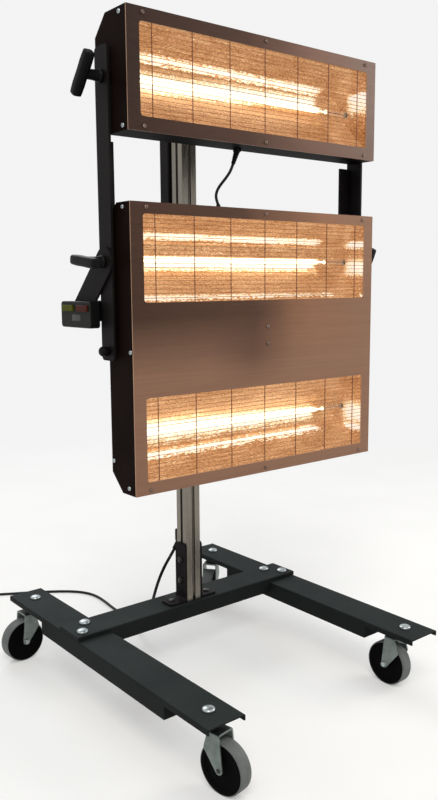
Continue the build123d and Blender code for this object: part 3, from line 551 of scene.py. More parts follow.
finishLooks = {
    "basePaint": {"colours": ("#1c2121", "#272d2c"), "grain": 900, "roughness": (0.55, 0.7),
                  "wearAndHighlightTone": "#454b4c", "sheen": 0.08},
    "armPaint": {"colours": ("#100c0c", "#161212"), "grain": 900, "roughness": (0.5, 0.65),
                 "wearAndHighlightTone": "#332c2c", "sheen": 0.1},
    "capPaint": {"colours": ("#120a08", "#1c120f"), "grain": 900, "roughness": (0.5, 0.65),
                 "wearAndHighlightTone": "#3f2c26", "sheen": 0.02},
    "mastAlloy": {"colours": ("#736d63", "#827c72"), "grain": 900, "stretch": (1, 1, 0.03),
                  "patch": 60, "roughness": (0.24, 0.38), "metallic": 0.9, "speck": 0.3,
                  "speckTone": "#a8a298", "bump": 0.15},
    "zinc": {"colours": ("#8b9395", "#b2b9ba"), "grain": 500, "patch": 60,
             "roughness": (0.24, 0.4), "metallic": 1, "speckTone": "#ced3d4"},
    "sheetScrew": {"colours": ("#6a5850", "#8a766c"), "grain": 500, "patch": 60,
                   "roughness": (0.25, 0.4), "metallic": 0.8},
    "darkBolt": {"colours": ("#2a2928", "#474543"), "grain": 500, "patch": 60,
                 "roughness": (0.25, 0.4), "metallic": 0.8},
    "forkSteel": {"colours": ("#66706c", "#838d89"), "grain": 500, "patch": 45,
                  "roughness": (0.34, 0.5), "metallic": 0.55, "wearAndHighlightTone": "#c4cac7",
                  "edgeReach": 0.0009},
    "treadGrey": {"colours": ("#5a5d5c", "#6f7372"), "grain": 500, "patch": 30,
                  "roughness": (0.5, 0.68), "speckTone": "#8b8f8e", "sheen": 0.35},
    "discPlastic": {"colours": ("#020202", "#040404"), "grain": 1400, "roughness": (0.6, 0.72),
                    "wearAndHighlightTone": "#141414", "edgeReach": 0.0008, "sheen": 0.04},
    "blackPlastic": {"colours": ("#060505", "#0a0909"), "grain": 1400, "roughness": (0.4, 0.55),
                     "wearAndHighlightTone": "#201e1e", "edgeReach": 0.0008, "sheen": 0.11},
    "boxPlastic": {"colours": ("#191a17", "#20211d"), "grain": 1400, "roughness": (0.45, 0.6),
                   "wearAndHighlightTone": "#33342e", "edgeReach": 0.0008, "sheen": 0.12},
    "plateGrey": {"colours": ("#3c3c39", "#504f4c"), "grain": 900, "patch": 200,
                  "roughness": (0.4, 0.55), "sheen": 0.2},
    "greenPlastic": {"colours": ("#44480a", "#52560e"), "grain": 900, "roughness": (0.5, 0.6),
                     "sheen": 0.1},
    "redPlastic": {"colours": ("#3f170d", "#4c1d12"), "grain": 900, "roughness": (0.5, 0.6),
                   "sheen": 0.1},
    "padPlastic": {"colours": ("#cfccc4", "#dedbd3"), "grain": 800, "roughness": (0.4, 0.55)},
    "cordRubber": {"colours": ("#0a0a0a", "#121212"), "grain": 1100, "roughness": (0.42, 0.58),
                   "sheen": 0.25},
    "ceramic": {"colours": ("#dfd8ca", "#ece6d9"), "grain": 700, "roughness": (0.6, 0.8)},
}
finishes = {name: coated(name, look) for name, look in finishLooks.items()}


# painted shade: a darker tone on faces that look one way, standing in for the shade on them: the
# normal's axis, where along it the tone starts and where it is full, the tone and its share
paintedShadeByFacing = {
    "boxPlastic": (0, -0.9, -0.6, "#080808", 1),     # painted shade: all faces but the cover, which looks to -X, are near black
    "basePaint": (2, 0.8, 0.3, "#0d0a09", 0.5),      # painted shade: upright sides are darker
    "capPaint": (2, -0.4, -0.8, "#040202", 0.85),    # painted shade: undersides are darkest
    "forkSteel": (2, 0.4, 0.8, "#0c0c0c", 0.8),      # painted shade on the crowns' tops, under the legs
}


def paintShadeByFacing(material, axis, start, end, tone, share):
    tree = material.node_tree
    shader = tree.nodes["Principled BSDF"]
    # painted shade, blended in according to the way the face looks
    other = spread(tree, facing(tree, axis), 0, share, start, end)
    colour = shader.inputs["Base Color"].links[0].from_socket
    tree.links.new(blended(tree, other, colour, tone), shader.inputs["Base Color"])


for name, tones in paintedShadeByFacing.items():
    paintShadeByFacing(finishes[name], *tones)


# guard: fine cross wires whose tone is painted light from the troughs, a faint painted glow on all
# wires, and browner uprights
guardLook = {
    "cross": ("#8f5f3b", "#bd8a5b"),
    "upright": "#6d3f28",
    "grain": (260, (0.5, 1, 1), 3),          # per metre, its stretch and detail
    "pitch": 0.090,
    "shift": 10.5,                           # pitches that keep what is divided above 0
    "reach": (0.00144, 0.00176),             # where the uprights' tone ends beside them
    "glow": 0.12, "metallic": 0.3, "roughness": (0.32, 0.5), "bump": (0.15, 0.0002),
}


def guardSteel(look):
    material, tree, shader = newMaterial("guardSteel")
    grain = placedNoise(tree, *look["grain"])
    shifted = plus(tree, placeAlong(tree, 0), look["pitch"] * look["shift"])
    off = maths(tree, "SUBTRACT", maths(tree, "MODULO", shifted, look["pitch"]),
                look["pitch"] / 2)
    upright = spread(tree, maths(tree, "ABSOLUTE", off, 0), 1, 0, *look["reach"])
    colour = twoTone(tree, grain, *look["cross"], 0.35, 0.65)
    colour = blended(tree, upright, colour, look["upright"])
    tree.links.new(colour, shader.inputs["Base Color"])
    tree.links.new(colour, shader.inputs["Emission Color"])
    # painted glow on the wires, which are no lamp
    shader.inputs["Emission Strength"].default_value = look["glow"]
    shader.inputs["Metallic"].default_value = look["metallic"]
    tree.links.new(spread(tree, grain, *look["roughness"]), shader.inputs["Roughness"])
    bump(tree, grain, shader, *look["bump"])
    return material


finishes["guardSteel"] = guardSteel(guardLook)


# brushed front sheets: fine level lines, with painted reflection and shade in their tones, darker
# on the left and towards the top
# the tones across each sheet and the tone of its lower part are painted reflection and shade
brushedLooks = {
    "brushedUpper": {"tones": ("#2c1d18", "#4b3328", "#7c5d4e", "#7b675d"), "low": "#40291f",
                     "lowShare": 0.25, "lowFrom": 1.30, "lowTo": 1.20, "paintedDarkReflection": 0.0,
                     "paintedCutHighlight": "#c8a084"},
    "brushedLower": {"tones": ("#3a271f", "#4c3428", "#93694f", "#8c6a54"), "low": "#94705a",
                     "lowShare": 0.9, "lowFrom": 0.85, "lowTo": 0.74, "paintedDarkReflection": 0.6,
                     "paintedCutHighlight": "#cfa588"},
}
# painted dark reflection: a blurred dark patch on the lower sheet, left of the middle
paintedDarkReflection = {"height": 0.80, "tilt": 0.0, "reach": 0.075, "taper": 0.0, "fromX": -0.09, "toX": 0.02,
          "soft": 0.06}
brushing = {
    "lines": (2600, (0.012, 1, 1), 3),       # grain per metre, its stretch and detail
    "bands": (240, (0.02, 1, 1), 3),
    "clouds": (6, (0.7, 1, 1), 3),
    "half": 0.33,                            # half the width over which the tones lie
    "drift": 0.07,                           # how far clouds shift the tones across it
    "stops": (0, 0.42, 0.72, 1),
    "lineShare": 0.14,
    "cut": (0.8, 0, 0.4, 0.8),               # share of the cut edges' painted highlight by how far they turn
    "metallic": 0.3, "sheen": 0.2, "roughness": (0.38, 0.52), "bump": (0.12, 0.0002, 0.0004),
}


def brushed(name, look, brush):
    material, tree, shader = newMaterial(name)
    lines, bands, clouds = (placedNoise(tree, *brush[key]) for key in ("lines", "bands", "clouds"))
    # painted reflection and shade: tones laid across the sheet from left to right, shifted by
    # clouds
    across = plus(tree, alongAxis(tree, 0, -brush["half"], brush["half"]),
                  spread(tree, clouds, -brush["drift"], brush["drift"]))
    colour = ramp(tree, across, list(zip(brush["stops"], look["tones"])))
    far, middle, near = look["tones"][:3]
    # the lower part turns to another tone: painted shade on the upper sheet, painted reflection on
    # the lower
    low = times(tree, alongAxis(tree, 2, look["lowFrom"], look["lowTo"]), look["lowShare"])
    colour = blended(tree, low, colour, look["low"])
    # painted dark reflection, blended in on a band
    if look["paintedDarkReflection"]:
        colour = blended(tree, times(tree, levelBand(tree, **paintedDarkReflection), look["paintedDarkReflection"]), colour,
                         middle)
    for grain, tone in ((bands, far), (lines, near)):
        colour = blended(tree, spread(tree, grain, 0, brush["lineShare"]), colour, tone)
    # painted highlight on the cut edges, the faces that don't look along y
    flat = maths(tree, "ABSOLUTE", facing(tree, 1), 0)
    colour = blended(tree, spread(tree, flat, *brush["cut"]), colour, look["paintedCutHighlight"])
    tree.links.new(colour, shader.inputs["Base Color"])
    shader.inputs["Metallic"].default_value = brush["metallic"]
    shader.inputs["Specular IOR Level"].default_value = brush["sheen"]
    tree.links.new(spread(tree, lines, *brush["roughness"]), shader.inputs["Roughness"])
    bump(tree, lines, shader, *brush["bump"])
    return material


for name, look in brushedLooks.items():
    finishes[name] = brushed(name, look, brushing)


# hammered gold of the troughs, with the lamps' light lying on it in broken bands
goldLook = {
    "metal": "#6a4526",
    "metalShare": 0.5,
    "tones": [(0, "#885931"), (0.22, "#b6865b"), (0.4, "#d0a175"), (0.58, "#edcb98"),
              (0.74, "#fff2cc"), (1, "#fffdf4")],
    "glow": 0.72,
    "marks": (300, (0.45, 1, 1), 2),         # hammer marks per metre, their stretch and detail
    "dots": (390, (0.8, 1, 1), 1),
    "broad": (14, (0.5, 1, 1), 3),
    "streaks": (230, (0.06, 0.6, 1), 2),
    "markSway": 0.004, "streakSway": 0.002,  # how far they break the bands' edges
    "broadLight": (0.2, 0.34), "markLight": (-0.08, 0.07), "streakLight": (-0.12, 0.10),
    "spark": (0, 0.55, 0.58, 0.68),          # light of the brightest dots and their noise
    "sparkByLight": (0.35, 1, 0.3, 0.55),    # how it grows with the light around them
    "dull": (0.26, 0, 0.3, 0.4),             # what the darkest dots take away
    "metallic": 0.7, "roughness": (0.2, 0.4), "bump": (0.5, 0.0012),
    "lit": (-0.31, 0.213, 0.008),            # start, end and fade of the bands along x
    "endWall": (0.2985, 0.4, 0.0004),        # the same on the right end wall
    "wallDrop": 0.004, "wallReach": 1.5,     # bands lie lower and wider there
    "wallBack": -0.106, "wallFront": -0.128,
    "bands": [                   # height, tilt, reach, narrowing, strength
        (1.2935, 0.045, 0.0160, -0.020, 0.66),
        (1.3250, 0.0, 0.0048, 0.0, 0.8),
        (1.2300, 0.0, 0.0340, 0.0, -0.15),
        (0.9500, -0.003, 0.0118, 0.0, 0.74),
        (1.0013, -0.003, 0.0052, 0.0, 0.85),
        (0.8862, 0.0, 0.0030, -0.006, 0.6),
        (0.6180, -0.014, 0.0200, -0.018, 0.66),
        (0.5788, 0.004, 0.0046, 0.0, 0.8),
    ],
}


def hammeredGold(look):
    material, tree, shader = newMaterial("hammeredGold")
    marks, dots, broad, streaks = (placedNoise(tree, *look[key])
                                   for key in ("marks", "dots", "broad", "streaks"))
    sway = plus(tree, spread(tree, marks, -look["markSway"], look["markSway"]),
                spread(tree, streaks, -look["streakSway"], look["streakSway"]))
    front = alongAxis(tree, 1, look["wallBack"], look["wallFront"])
    light = plus(tree, spread(tree, broad, *look["broadLight"]),
                 spread(tree, marks, *look["markLight"]),
                 spread(tree, streaks, *look["streakLight"]))
    for height, tilt, reach, taper, strength in look["bands"]:
        band = levelBand(tree, height, tilt, reach, taper, *look["lit"], sway)
        wall = levelBand(tree, height - look["wallDrop"], tilt, reach * look["wallReach"], taper,
                         *look["endWall"], sway)
        band = plus(tree, band, times(tree, wall, front))
        light = plus(tree, light, times(tree, band, strength))
    light = plus(tree, light, times(tree, spread(tree, dots, *look["spark"]),
                                    spread(tree, light, *look["sparkByLight"])))
    light = maths(tree, "SUBTRACT", light, spread(tree, dots, *look["dull"]))
    colour = ramp(tree, light, look["tones"])
    tree.links.new(blended(tree, look["metalShare"], colour, look["metal"]),
                   shader.inputs["Base Color"])
    tree.links.new(colour, shader.inputs["Emission Color"])
    shader.inputs["Emission Strength"].default_value = look["glow"]
    shader.inputs["Metallic"].default_value = look["metallic"]
    tree.links.new(spread(tree, marks, *look["roughness"]), shader.inputs["Roughness"])
    bump(tree, marks, shader, *look["bump"])
    return material


finishes["hammeredGold"] = hammeredGold(goldLook)


# lamps: a quartz tube round a wound filament that glows
lampGlow = {
    "glowFrom": -0.297, "glowTo": 0.213,     # lit part along the lamp
    "leadTo": 0.2355,                        # end of the hot lead beside it
    "soft": 0.006,
    "tubeColour": "#fff0c8", "tubeStrength": (1.36, 1.6), "tubeAlpha": (0.1, 0.6),
    "tubeTones": ("#f4efe6", "#ffffff"), "tubeRoughness": (0.03, 0.09),
    "tubeStreaks": (120, (0.2, 1, 1), 2),
    "wireColour": "#ffe9b4", "wireStrength": 6, "wireTones": ("#3a2012", "#5a3820"),
    "wireMetallic": 0.2, "wireRoughness": 0.5, "wireGrain": (900, (1, 1, 1), 2),
}


def litLength(tree, look, stop):
    soft = look["soft"]
    start = alongAxis(tree, 0, look["glowFrom"] - soft, look["glowFrom"] + soft)
    return times(tree, start, alongAxis(tree, 0, look[stop] + soft, look[stop] - soft))


def quartzGlow(look):
    material, tree, shader = newMaterial("quartzGlow")
    streaks = placedNoise(tree, *look["tubeStreaks"])
    lit = litLength(tree, look, "glowTo")
    tree.links.new(twoTone(tree, streaks, *look["tubeTones"]), shader.inputs["Base Color"])
    shader.inputs["Emission Color"].default_value = linear(look["tubeColour"])
    tree.links.new(times(tree, lit, spread(tree, streaks, *look["tubeStrength"])),
                   shader.inputs["Emission Strength"])
    tree.links.new(spread(tree, lit, *look["tubeAlpha"], 0, 1), shader.inputs["Alpha"])
    tree.links.new(spread(tree, streaks, *look["tubeRoughness"]), shader.inputs["Roughness"])
    return material


def filamentGlow(look):
    material, tree, shader = newMaterial("filamentGlow")
    grain = placedNoise(tree, *look["wireGrain"])
    tree.links.new(twoTone(tree, grain, *look["wireTones"]), shader.inputs["Base Color"])
    shader.inputs["Metallic"].default_value = look["wireMetallic"]
    shader.inputs["Roughness"].default_value = look["wireRoughness"]
    shader.inputs["Emission Color"].default_value = linear(look["wireColour"])
    tree.links.new(times(tree, litLength(tree, look, "leadTo"), look["wireStrength"]),
                   shader.inputs["Emission Strength"])
    return material


finishes["quartzGlow"] = quartzGlow(lampGlow)
finishes["filamentGlow"] = filamentGlow(lampGlow)


# finishes of the CAD nodes that are shown as they are
nodeFinishes = {
    "basePaint": ["left_leg", "right_leg", "cross_member"],
    "armPaint": ["left_arm", "right_arm", "yoke", "carriage_bracket", "carriage_spine",
                 "foot_brackets", "mast_cap"],
    "capPaint": ["lower_end_caps", "upper_end_caps", "lower_housing", "upper_housing"],
    "brushedUpper": ["upper_front"],
    "brushedLower": ["lower_front"],
    "mastAlloy": ["mast"],
    "zinc": ["base_nuts"],
    "discPlastic": ["caster_races"],
    "boxPlastic": ["control_box"],
    "padPlastic": ["glide_pads"],
    "greenPlastic": ["start_button"],
    "redPlastic": ["stop_button"],
    "ceramic": ["lower_holders", "upper_holders"],
    "guardSteel": ["lower_grilles", "upper_grille"],
    "hammeredGold": ["lower_reflectors", "upper_reflector"],
}
for finish, nodeNames in nodeFinishes.items():
    for nodeName in nodeNames:
        node = bpy.data.objects[nodeName]
        for slot in node.material_slots:
            slot.material = finishes[finish]
        if not node.material_slots:
            node.data.materials.append(finishes[finish])
for softPiece in (cordPiece, leadPiece):
    softPiece.data.materials.append(finishes["cordRubber"])
print("finishes made:", len(finishes))


# turned and moulded pieces, in millimetres
ringKinds = {
    "crossArm": 0.24, "crossFoot": 0.38,     # half an arm's angle, and the reach between arms
    "lobes": 5, "lobeDepth": 0.13,
    "knurls": 24, "knurlDepth": 0.035,
}


def outlineShare(kind, angle):
    # how far a ring of this kind reaches at an angle, as a share of its radius
    if kind == "hex":
        return math.cos(math.pi / 6) / math.cos(angle % (math.pi / 3) - math.pi / 6)
    if kind == "cross":
        off = abs((angle + math.pi / 4) % (math.pi / 2) - math.pi / 4)
        return 1 if off < ringKinds["crossArm"] else ringKinds["crossFoot"]
    if kind == "square":
        return (math.cos(angle) ** 4 + math.sin(angle) ** 4) ** -0.25
    if kind == "lobes":
        return 1 - ringKinds["lobeDepth"] * (1 - math.cos(ringKinds["lobes"] * angle))
    if kind == "knurl":
        return 1 - ringKinds["knurlDepth"] * (1 + math.cos(ringKinds["knurls"] * angle)) / 2
    return 1


def turned(mesh, profile, seat, way, sides=40, index=0):
    # a turned shape from (along, radius, kind of ring), seated at a point of the frame
    place = Matrix.Translation(seat) @ Vector(way).to_track_quat("Z", "Y").to_matrix().to_4x4()
    rings = []
    for along, radius, *kind in profile:
        ring = []
        for angle in anglesRound(sides) if radius else [0]:
            reach = radius * outlineShare(kind[0] if kind else "", angle)
            ring.append(mesh.verts.new(place @ (Vector((
                reach * math.cos(angle), reach * math.sin(angle), along)) * 0.001)))
        rings.append(ring)
    for lower, upper in zip(rings, rings[1:]):
        joinRings(mesh, lower, upper, index)


def rodShape(radius, length):
    return [(0, 0), (0, radius), (length, radius), (length, 0)]


def boxed(mesh, low, high, rounding):
    # a block between two corners, its edges rounded
    middle, size = (Vector(low) + Vector(high)) / 2, Vector(high) - Vector(low)
    made = bmesh.ops.create_cube(mesh, size=0.001)
    bmesh.ops.scale(mesh, vec=size, verts=made["verts"])
    bmesh.ops.translate(mesh, vec=at(*middle), verts=made["verts"])
    edges = dict.fromkeys(edge for vertex in made["verts"] for edge in vertex.link_edges)
    bmesh.ops.bevel(mesh, geom=list(edges), offset=rounding * 0.001, segments=3, profile=0.5,
                    affect="EDGES")


def finished(name, mesh, looks, body, nodes=(), crease=meshing["crease"]):
    piece = shownPiece(name, mesh, crease)
    for look in looks:
        piece.data.materials.append(finishes[look])
    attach(piece, body)
    if nodes:
        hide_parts(*nodes)
    return piece


boltDetails = {
    "foot": 0.3,                 # chamfer under a head
    "rim": 0.28,                 # upright part of a head, as a share of its height
    "arcs": 8,                   # steps of the crown
    "apex": 0.12, "peak": 0.02,  # where a plain crown's arc ends, in radians, and its middle
    "socketWall": 0.5, "socketTip": 0.8,
    "pitch": 1.25, "root": 0.93, "tip": 0.8,
    "threadTo": 0.35,            # where the thread ends, as a share of the shank
}


def dome(radius, height, rim, socket=0, depth=0):
    # crown of a button head, with a six-sided socket where it has one
    foot, arcs = boltDetails["foot"], boltDetails["arcs"]
    steps = [(0, radius - foot), (foot, radius), (rim, radius)]
    top = math.pi / 2 - boltDetails["apex"]
    if socket:
        top = math.acos((socket + boltDetails["socketWall"]) / radius)
    for k in range(1, arcs + 1):
        turn = top * k / arcs
        steps.append((rim + (height - rim) * math.sin(turn) / math.sin(top),
                      radius * math.cos(turn)))
    if not socket:
        return steps + [(height + boltDetails["peak"], 0)]
    return steps + [(height - foot, socket, "hex"), (height - depth, socket, "hex"),
                    (height - depth - boltDetails["socketTip"], 0)]


def boltShape(shank, length, head, height, socket=0, depth=0):
    # shank below the seat with a thread on its far part, and a domed head above it
    thread = []
    along = -length + 1
    while along < -length * boltDetails["threadTo"]:
        thread += [(along, shank), (along + 0.5, shank * boltDetails["root"]), (along + 1, shank)]
        along += boltDetails["pitch"]
    return [(-length, 0), (-length, shank - boltDetails["tip"]), *thread, (0, shank),
            *dome(head, height, boltDetails["rim"] * height, socket, depth)]


baseBolts = {
    "deckTop": 154, "legTop": 144, "bracketTop": 159,
    "shank": 5, "head": (12.5, 7),           # radius and height
    "deckLength": 22.5, "pinLength": 33,
    "deck": [(side * (286 + out * 14.2), 11.5 - out * 20) for side in (-1, 1) for out in (-1, 1)],
    "pins": [(-280, -433), (-280, 261), (280, -433), (280, 261)],
    "smallShank": 4, "smallHead": (8, 4.5), "wallLength": 14.5, "footLength": 16.5,
    "wallSeat": 25, "wallLevels": (203, 255), "footSeat": 52,
}


def makeBaseBolts(look):
    mesh = bmesh.new()
    for places, level, length in ((look["deck"], look["deckTop"], look["deckLength"]),
                                  (look["pins"], look["legTop"], look["pinLength"])):
        for x, y in places:
            turned(mesh, boltShape(look["shank"], length, *look["head"]), at(x, y, level),
                   (0, 0, 1))
    for side in (-1, 1):
        for level in look["wallLevels"]:
            turned(mesh, boltShape(look["smallShank"], look["wallLength"], *look["smallHead"]),
                   at(side * look["wallSeat"], 0, level), (side, 0, 0), index=1)
        turned(mesh, boltShape(look["smallShank"], look["footLength"], *look["smallHead"]),
               at(side * look["footSeat"], 0, look["bracketTop"]), (0, 0, 1), index=1)
    return finished("baseBolts", mesh, ["zinc", "darkBolt"], "base", ["base_bolts"])


makeBaseBolts(baseBolts)

carriageBolts = {
    "shank": 4, "head": (8, 4.5, 2.5, 2.4),  # radius, height, socket, its depth
    "cheek": 30.3, "cheekY": 42.3, "cheekLevels": (833, 887), "cheekLength": 11,
    "tabX": 46.3, "tabY": -93, "tabLevel": 860, "tabLength": 10.5,
    "boxX": -338.3, "boxY": -148, "boxLevels": (861, 873), "boxShank": (2.5, 10),
}


def panScrew(mesh, seat, way, radius=4.5, height=2.6, index=0):
    # a low cross-slotted head
    turned(mesh, [(0, 0), (0, radius), (0.5, radius), (1.5, radius * 0.93), (2.2, radius * 0.78),
                  (height, radius * 0.62), (height - 0.1, radius * 0.56, "cross"),
                  (height - 1.3, radius * 0.5, "cross"), (height - 1.5, 0)],
           seat, way, sides=32, index=index)


def makeCarriageBolts(look):
    mesh = bmesh.new()
    for side in (-1, 1):
        for level in look["cheekLevels"]:
            turned(mesh, boltShape(look["shank"], look["cheekLength"], *look["head"]),
                   at(side * look["cheek"], look["cheekY"], level), (side, 0, 0))
        turned(mesh, boltShape(look["shank"], look["tabLength"], *look["head"]),
               at(side * look["tabX"], look["tabY"], look["tabLevel"]), (0, 1, 0))
    for level in look["boxLevels"]:
        seat = at(look["boxX"], look["boxY"], level)
        panScrew(mesh, seat, (1, 0, 0))
        turned(mesh, rodShape(*look["boxShank"]), seat, (-1, 0, 0), sides=20)
    return finished("carriageBolts", mesh, ["zinc"], "carriage", ["carriage_bolts"])


makeCarriageBolts(carriageBolts)

sheetScrews = {
    "frontY": -277, "half": 325, "outer": 291, "inset": 9, "frontRadius": 3.9,
    "upper": {"low": 1181, "height": 210, "middle": (), "ends": ((22, 201), (17, 9)),
              "body": "upper_heater"},
    "lower": {"low": 517, "height": 542, "middle": ((6, 271), (6, 306)),
              "ends": ((25, 533), (8, 271), (75, 58), (22, 13)), "body": "head"},
}


def makeSheetScrews(look, heater):
    own = look[heater]
    mesh = bmesh.new()
    places = [(x, z) for z in (look["inset"], own["height"] - look["inset"])
              for x in (-look["outer"], 0, look["outer"])]
    for x, z in (*places, *own["middle"]):
        panScrew(mesh, at(x, look["frontY"], own["low"] + z), (0, -1, 0), look["frontRadius"],
                 index=1)
    for side in (-1, 1):
        for y, z in own["ends"]:
            panScrew(mesh, at(side * look["half"], look["frontY"] + y, own["low"] + z),
                     (side, 0, 0))
    return finished(heater + "Screws", mesh, ["zinc", "sheetScrew"], own["body"],
                    [heater + "_screws"])


for heaterName in ("upper", "lower"):
    makeSheetScrews(sheetScrews, heaterName)

armBolts = {
    "armOut": 338, "half": 325, "y": -212, "level": 788, "pivotLevel": 953, "upperLevel": 1280,
    "knob": [(0, 0), (0, 7.6), (0.8, 8.6), (3, 8.6), (3.6, 9, "knurl"), (14.4, 9, "knurl"),
             (15.4, 8.2), (17.4, 6.4), (18, 4.4), (18, 0)],
    "shank": (4, 23.5),
    "spacer": (9, 8), "bore": 4.25, "pivotBore": 5.3,      # outer radius and length
    "upperSpacer": (9, 7.7), "upperBore": 5.25,
    "pivot": (5, 23.8, 12.5, 7, 3.4, 3.2),   # shank, length, head, height, socket, its depth
    "play": 0.3,
}


def ringShape(inner, outer, length, bevel=0.5):
    return [(0, inner), (0, outer - bevel), (bevel, outer), (length - bevel, outer),
            (length, outer - bevel), (length, inner), (0, inner)]


def makeArmBolts(look):
    mesh = bmesh.new()
    for side in (-1, 1):
        seat = at(side * look["armOut"], look["y"], look["level"])
        turned(mesh, look["knob"], seat, (side, 0, 0), sides=96)
        turned(mesh, rodShape(*look["shank"]), seat, (-side, 0, 0), sides=24)
        for level, bore in ((look["pivotLevel"], look["pivotBore"]),
                            (look["level"], look["bore"])):
            turned(mesh, ringShape(bore, *look["spacer"]),
                   at(side * look["half"], look["y"], level), (side, 0, 0))
    return finished("armBolts", mesh, ["blackPlastic"], "head", ["arm_bolts"])


def makeUpperPivot(look):
    mesh = bmesh.new()
    y, level = look["y"], look["upperLevel"]
    turned(mesh, boltShape(*look["pivot"]), at(look["armOut"] + look["play"], y, level), (1, 0, 0))
    for side in (-1, 1):
        turned(mesh, ringShape(look["upperBore"], *look["upperSpacer"]),
               at(side * look["half"], y, level), (side, 0, 0))
    return finished("upperPivot", mesh, ["blackPlastic"], "upper_heater", ["upper_pivot"])


makeArmBolts(armBolts)
makeUpperPivot(armBolts)
print("bolts and screws made")

teeHandles = {
    "reach": 38, "length": 82, "radius": 9.8, "tip": 314.5, "y": -212, "play": 0.3, "stud": 5,
    "hub": [(0, 0), (0, 10.6), (0.8, 11.6), (4.5, 11.8), (5.4, 11), (8, 10.2), (18, 9.3),
            (28, 9.2)],
    "handles": [                 # piece, side, what it seats on, height, lean in degrees, body
        ("leftTiltHandle", -1, 343.3, 953, 83, "left_tilt_handle"),
        ("rightTiltHandle", 1, 343.3, 953, -25, "right_tilt_handle"),
        ("upperTiltHandle", -1, 338.0, 1280, -40, "upper_tilt_handle"),
    ],
}


def gripShape(half, radius):
    # squarish bar, slightly thinner at its middle and ends
    near = [(-half, 0), (-half, radius - 2.4, "square"), (-half + 0.7, radius - 1.2, "square"),
            (-half + 2, radius - 0.8, "square"), (-half + 8, radius - 0.4, "square"),
            (-20, radius, "square"), (-8, radius - 0.2, "square")]
    return near + [(0, radius - 0.3, "square")] + [(-along, *rest) for along, *rest in near[::-1]]


def makeTeeHandle(look, name, side, face, level, lean, body):
    mesh = bmesh.new()
    start, reach = face + look["play"], look["reach"]
    turned(mesh, rodShape(look["stud"], start - look["tip"]),
           at(side * look["tip"], look["y"], level), (side, 0, 0), sides=28, index=1)
    turned(mesh, look["hub"] + [(reach, 9.6), (reach, 0)], at(side * start, look["y"], level),
           (side, 0, 0))
    swing = Vector((0, math.sin(math.radians(lean)), math.cos(math.radians(lean))))
    turned(mesh, gripShape(look["length"] / 2, look["radius"]),
           at(side * (start + reach), look["y"], level), swing, sides=44)
    return finished(name, mesh, ["blackPlastic", "zinc"], body, [body])


for handle in teeHandles["handles"]:
    makeTeeHandle(teeHandles, *handle)

clampKnob = {
    "seat": 30.6, "level": 860, "hub": 9, "radius": 21, "low": 10, "high": 26,
    "screwFrom": 25.6, "screw": 4,
}


def makeClampKnob(look):
    mesh = bmesh.new()
    hub, radius, low, high = look["hub"], look["radius"], look["low"], look["high"]
    turned(mesh, [(0, 0), (0, hub - 0.6), (0.6, hub), (low, hub), (low, radius - 3, "lobes"),
                  (low + 0.9, radius - 1, "lobes"), (low + 3, radius, "lobes"),
                  (high - 3.5, radius, "lobes"), (high - 1.2, radius - 1.4, "lobes"),
                  (high, radius - 4, "lobes"), (high, 8), (high - 1, 7.2), (high - 1, 0)],
           at(look["seat"], 0, look["level"]), (1, 0, 0), sides=80)
    turned(mesh, rodShape(look["screw"], look["seat"] - look["screwFrom"]),
           at(look["screwFrom"], 0, look["level"]), (1, 0, 0), sides=24, index=1)
    return finished("clampKnob", mesh, ["blackPlastic", "zinc"], "clamp_knob", ["clamp_knob"])


makeClampKnob(clampKnob)
print("handles made")

casters = {
    "radius": 50, "trail": 40,
    "corners": {                 # swivel axis, and heading in degrees
        "front_left": ((-280, -433), 170), "back_left": ((-280, 261), -94),
        "front_right": ((280, -433), -2), "back_right": ((280, 261), -128),
    },
}


def casterPlace(corner):
    # from a caster's own axes, with x along its axle and y the way it trails, to the frame
    (x, y), heading = casters["corners"][corner]
    return Matrix.Translation(at(x, y, 0)) @ Matrix.Rotation(math.radians(-heading), 4, "Z")


def onCaster(place, x, y, z):
    return place @ (Vector((x, y, z)) * 0.001)


forks = {
    "gap": 34, "sheet": 3, "bend": 5,
    "crownTop": 118, "crownThick": 4, "crownBack": 12, "crownFront": 41, "crownArcs": 6,
    "cheek": [(40, 50, 8), (10.5, 84, 6), (15, 109.3, 3.5), (38.5, 109.6, 3)],  # rounded corners
    "headTop": 123.7, "head": (19.5, 9), "nutHole": (10.8, 4),      # radius and depth
    "axleHead": (4.6, 2.2, 0.8), "nut": (6.5, 5), "axle": 4,
}


def hullOutline(circles, sides=48):
    # the outline of a band round all the circles (y, z, radius)
    points = [Vector((y + radius * math.cos(turn), z + radius * math.sin(turn)))
              for y, z, radius in circles for turn in anglesRound(sides)]
    return [points[k] for k in geometry.convex_hull_2d(points)]


def addCheek(mesh, outline, low, high, place, bevel=0.5):
    # a plate with the outline in (y, z) between two places along x, its edges rounded
    sides = [[mesh.verts.new(onCaster(place, x, y, z)) for y, z in outline] for x in (low, high)]
    caps = [mesh.faces.new(sides[0][::-1]), mesh.faces.new(sides[1])]
    joinRings(mesh, *sides)
    rims = dict.fromkeys(edge for cap in caps for edge in cap.edges)
    bmesh.ops.bevel(mesh, geom=list(rims), offset=bevel * 0.001, segments=2, profile=0.5,
                    affect="EDGES")


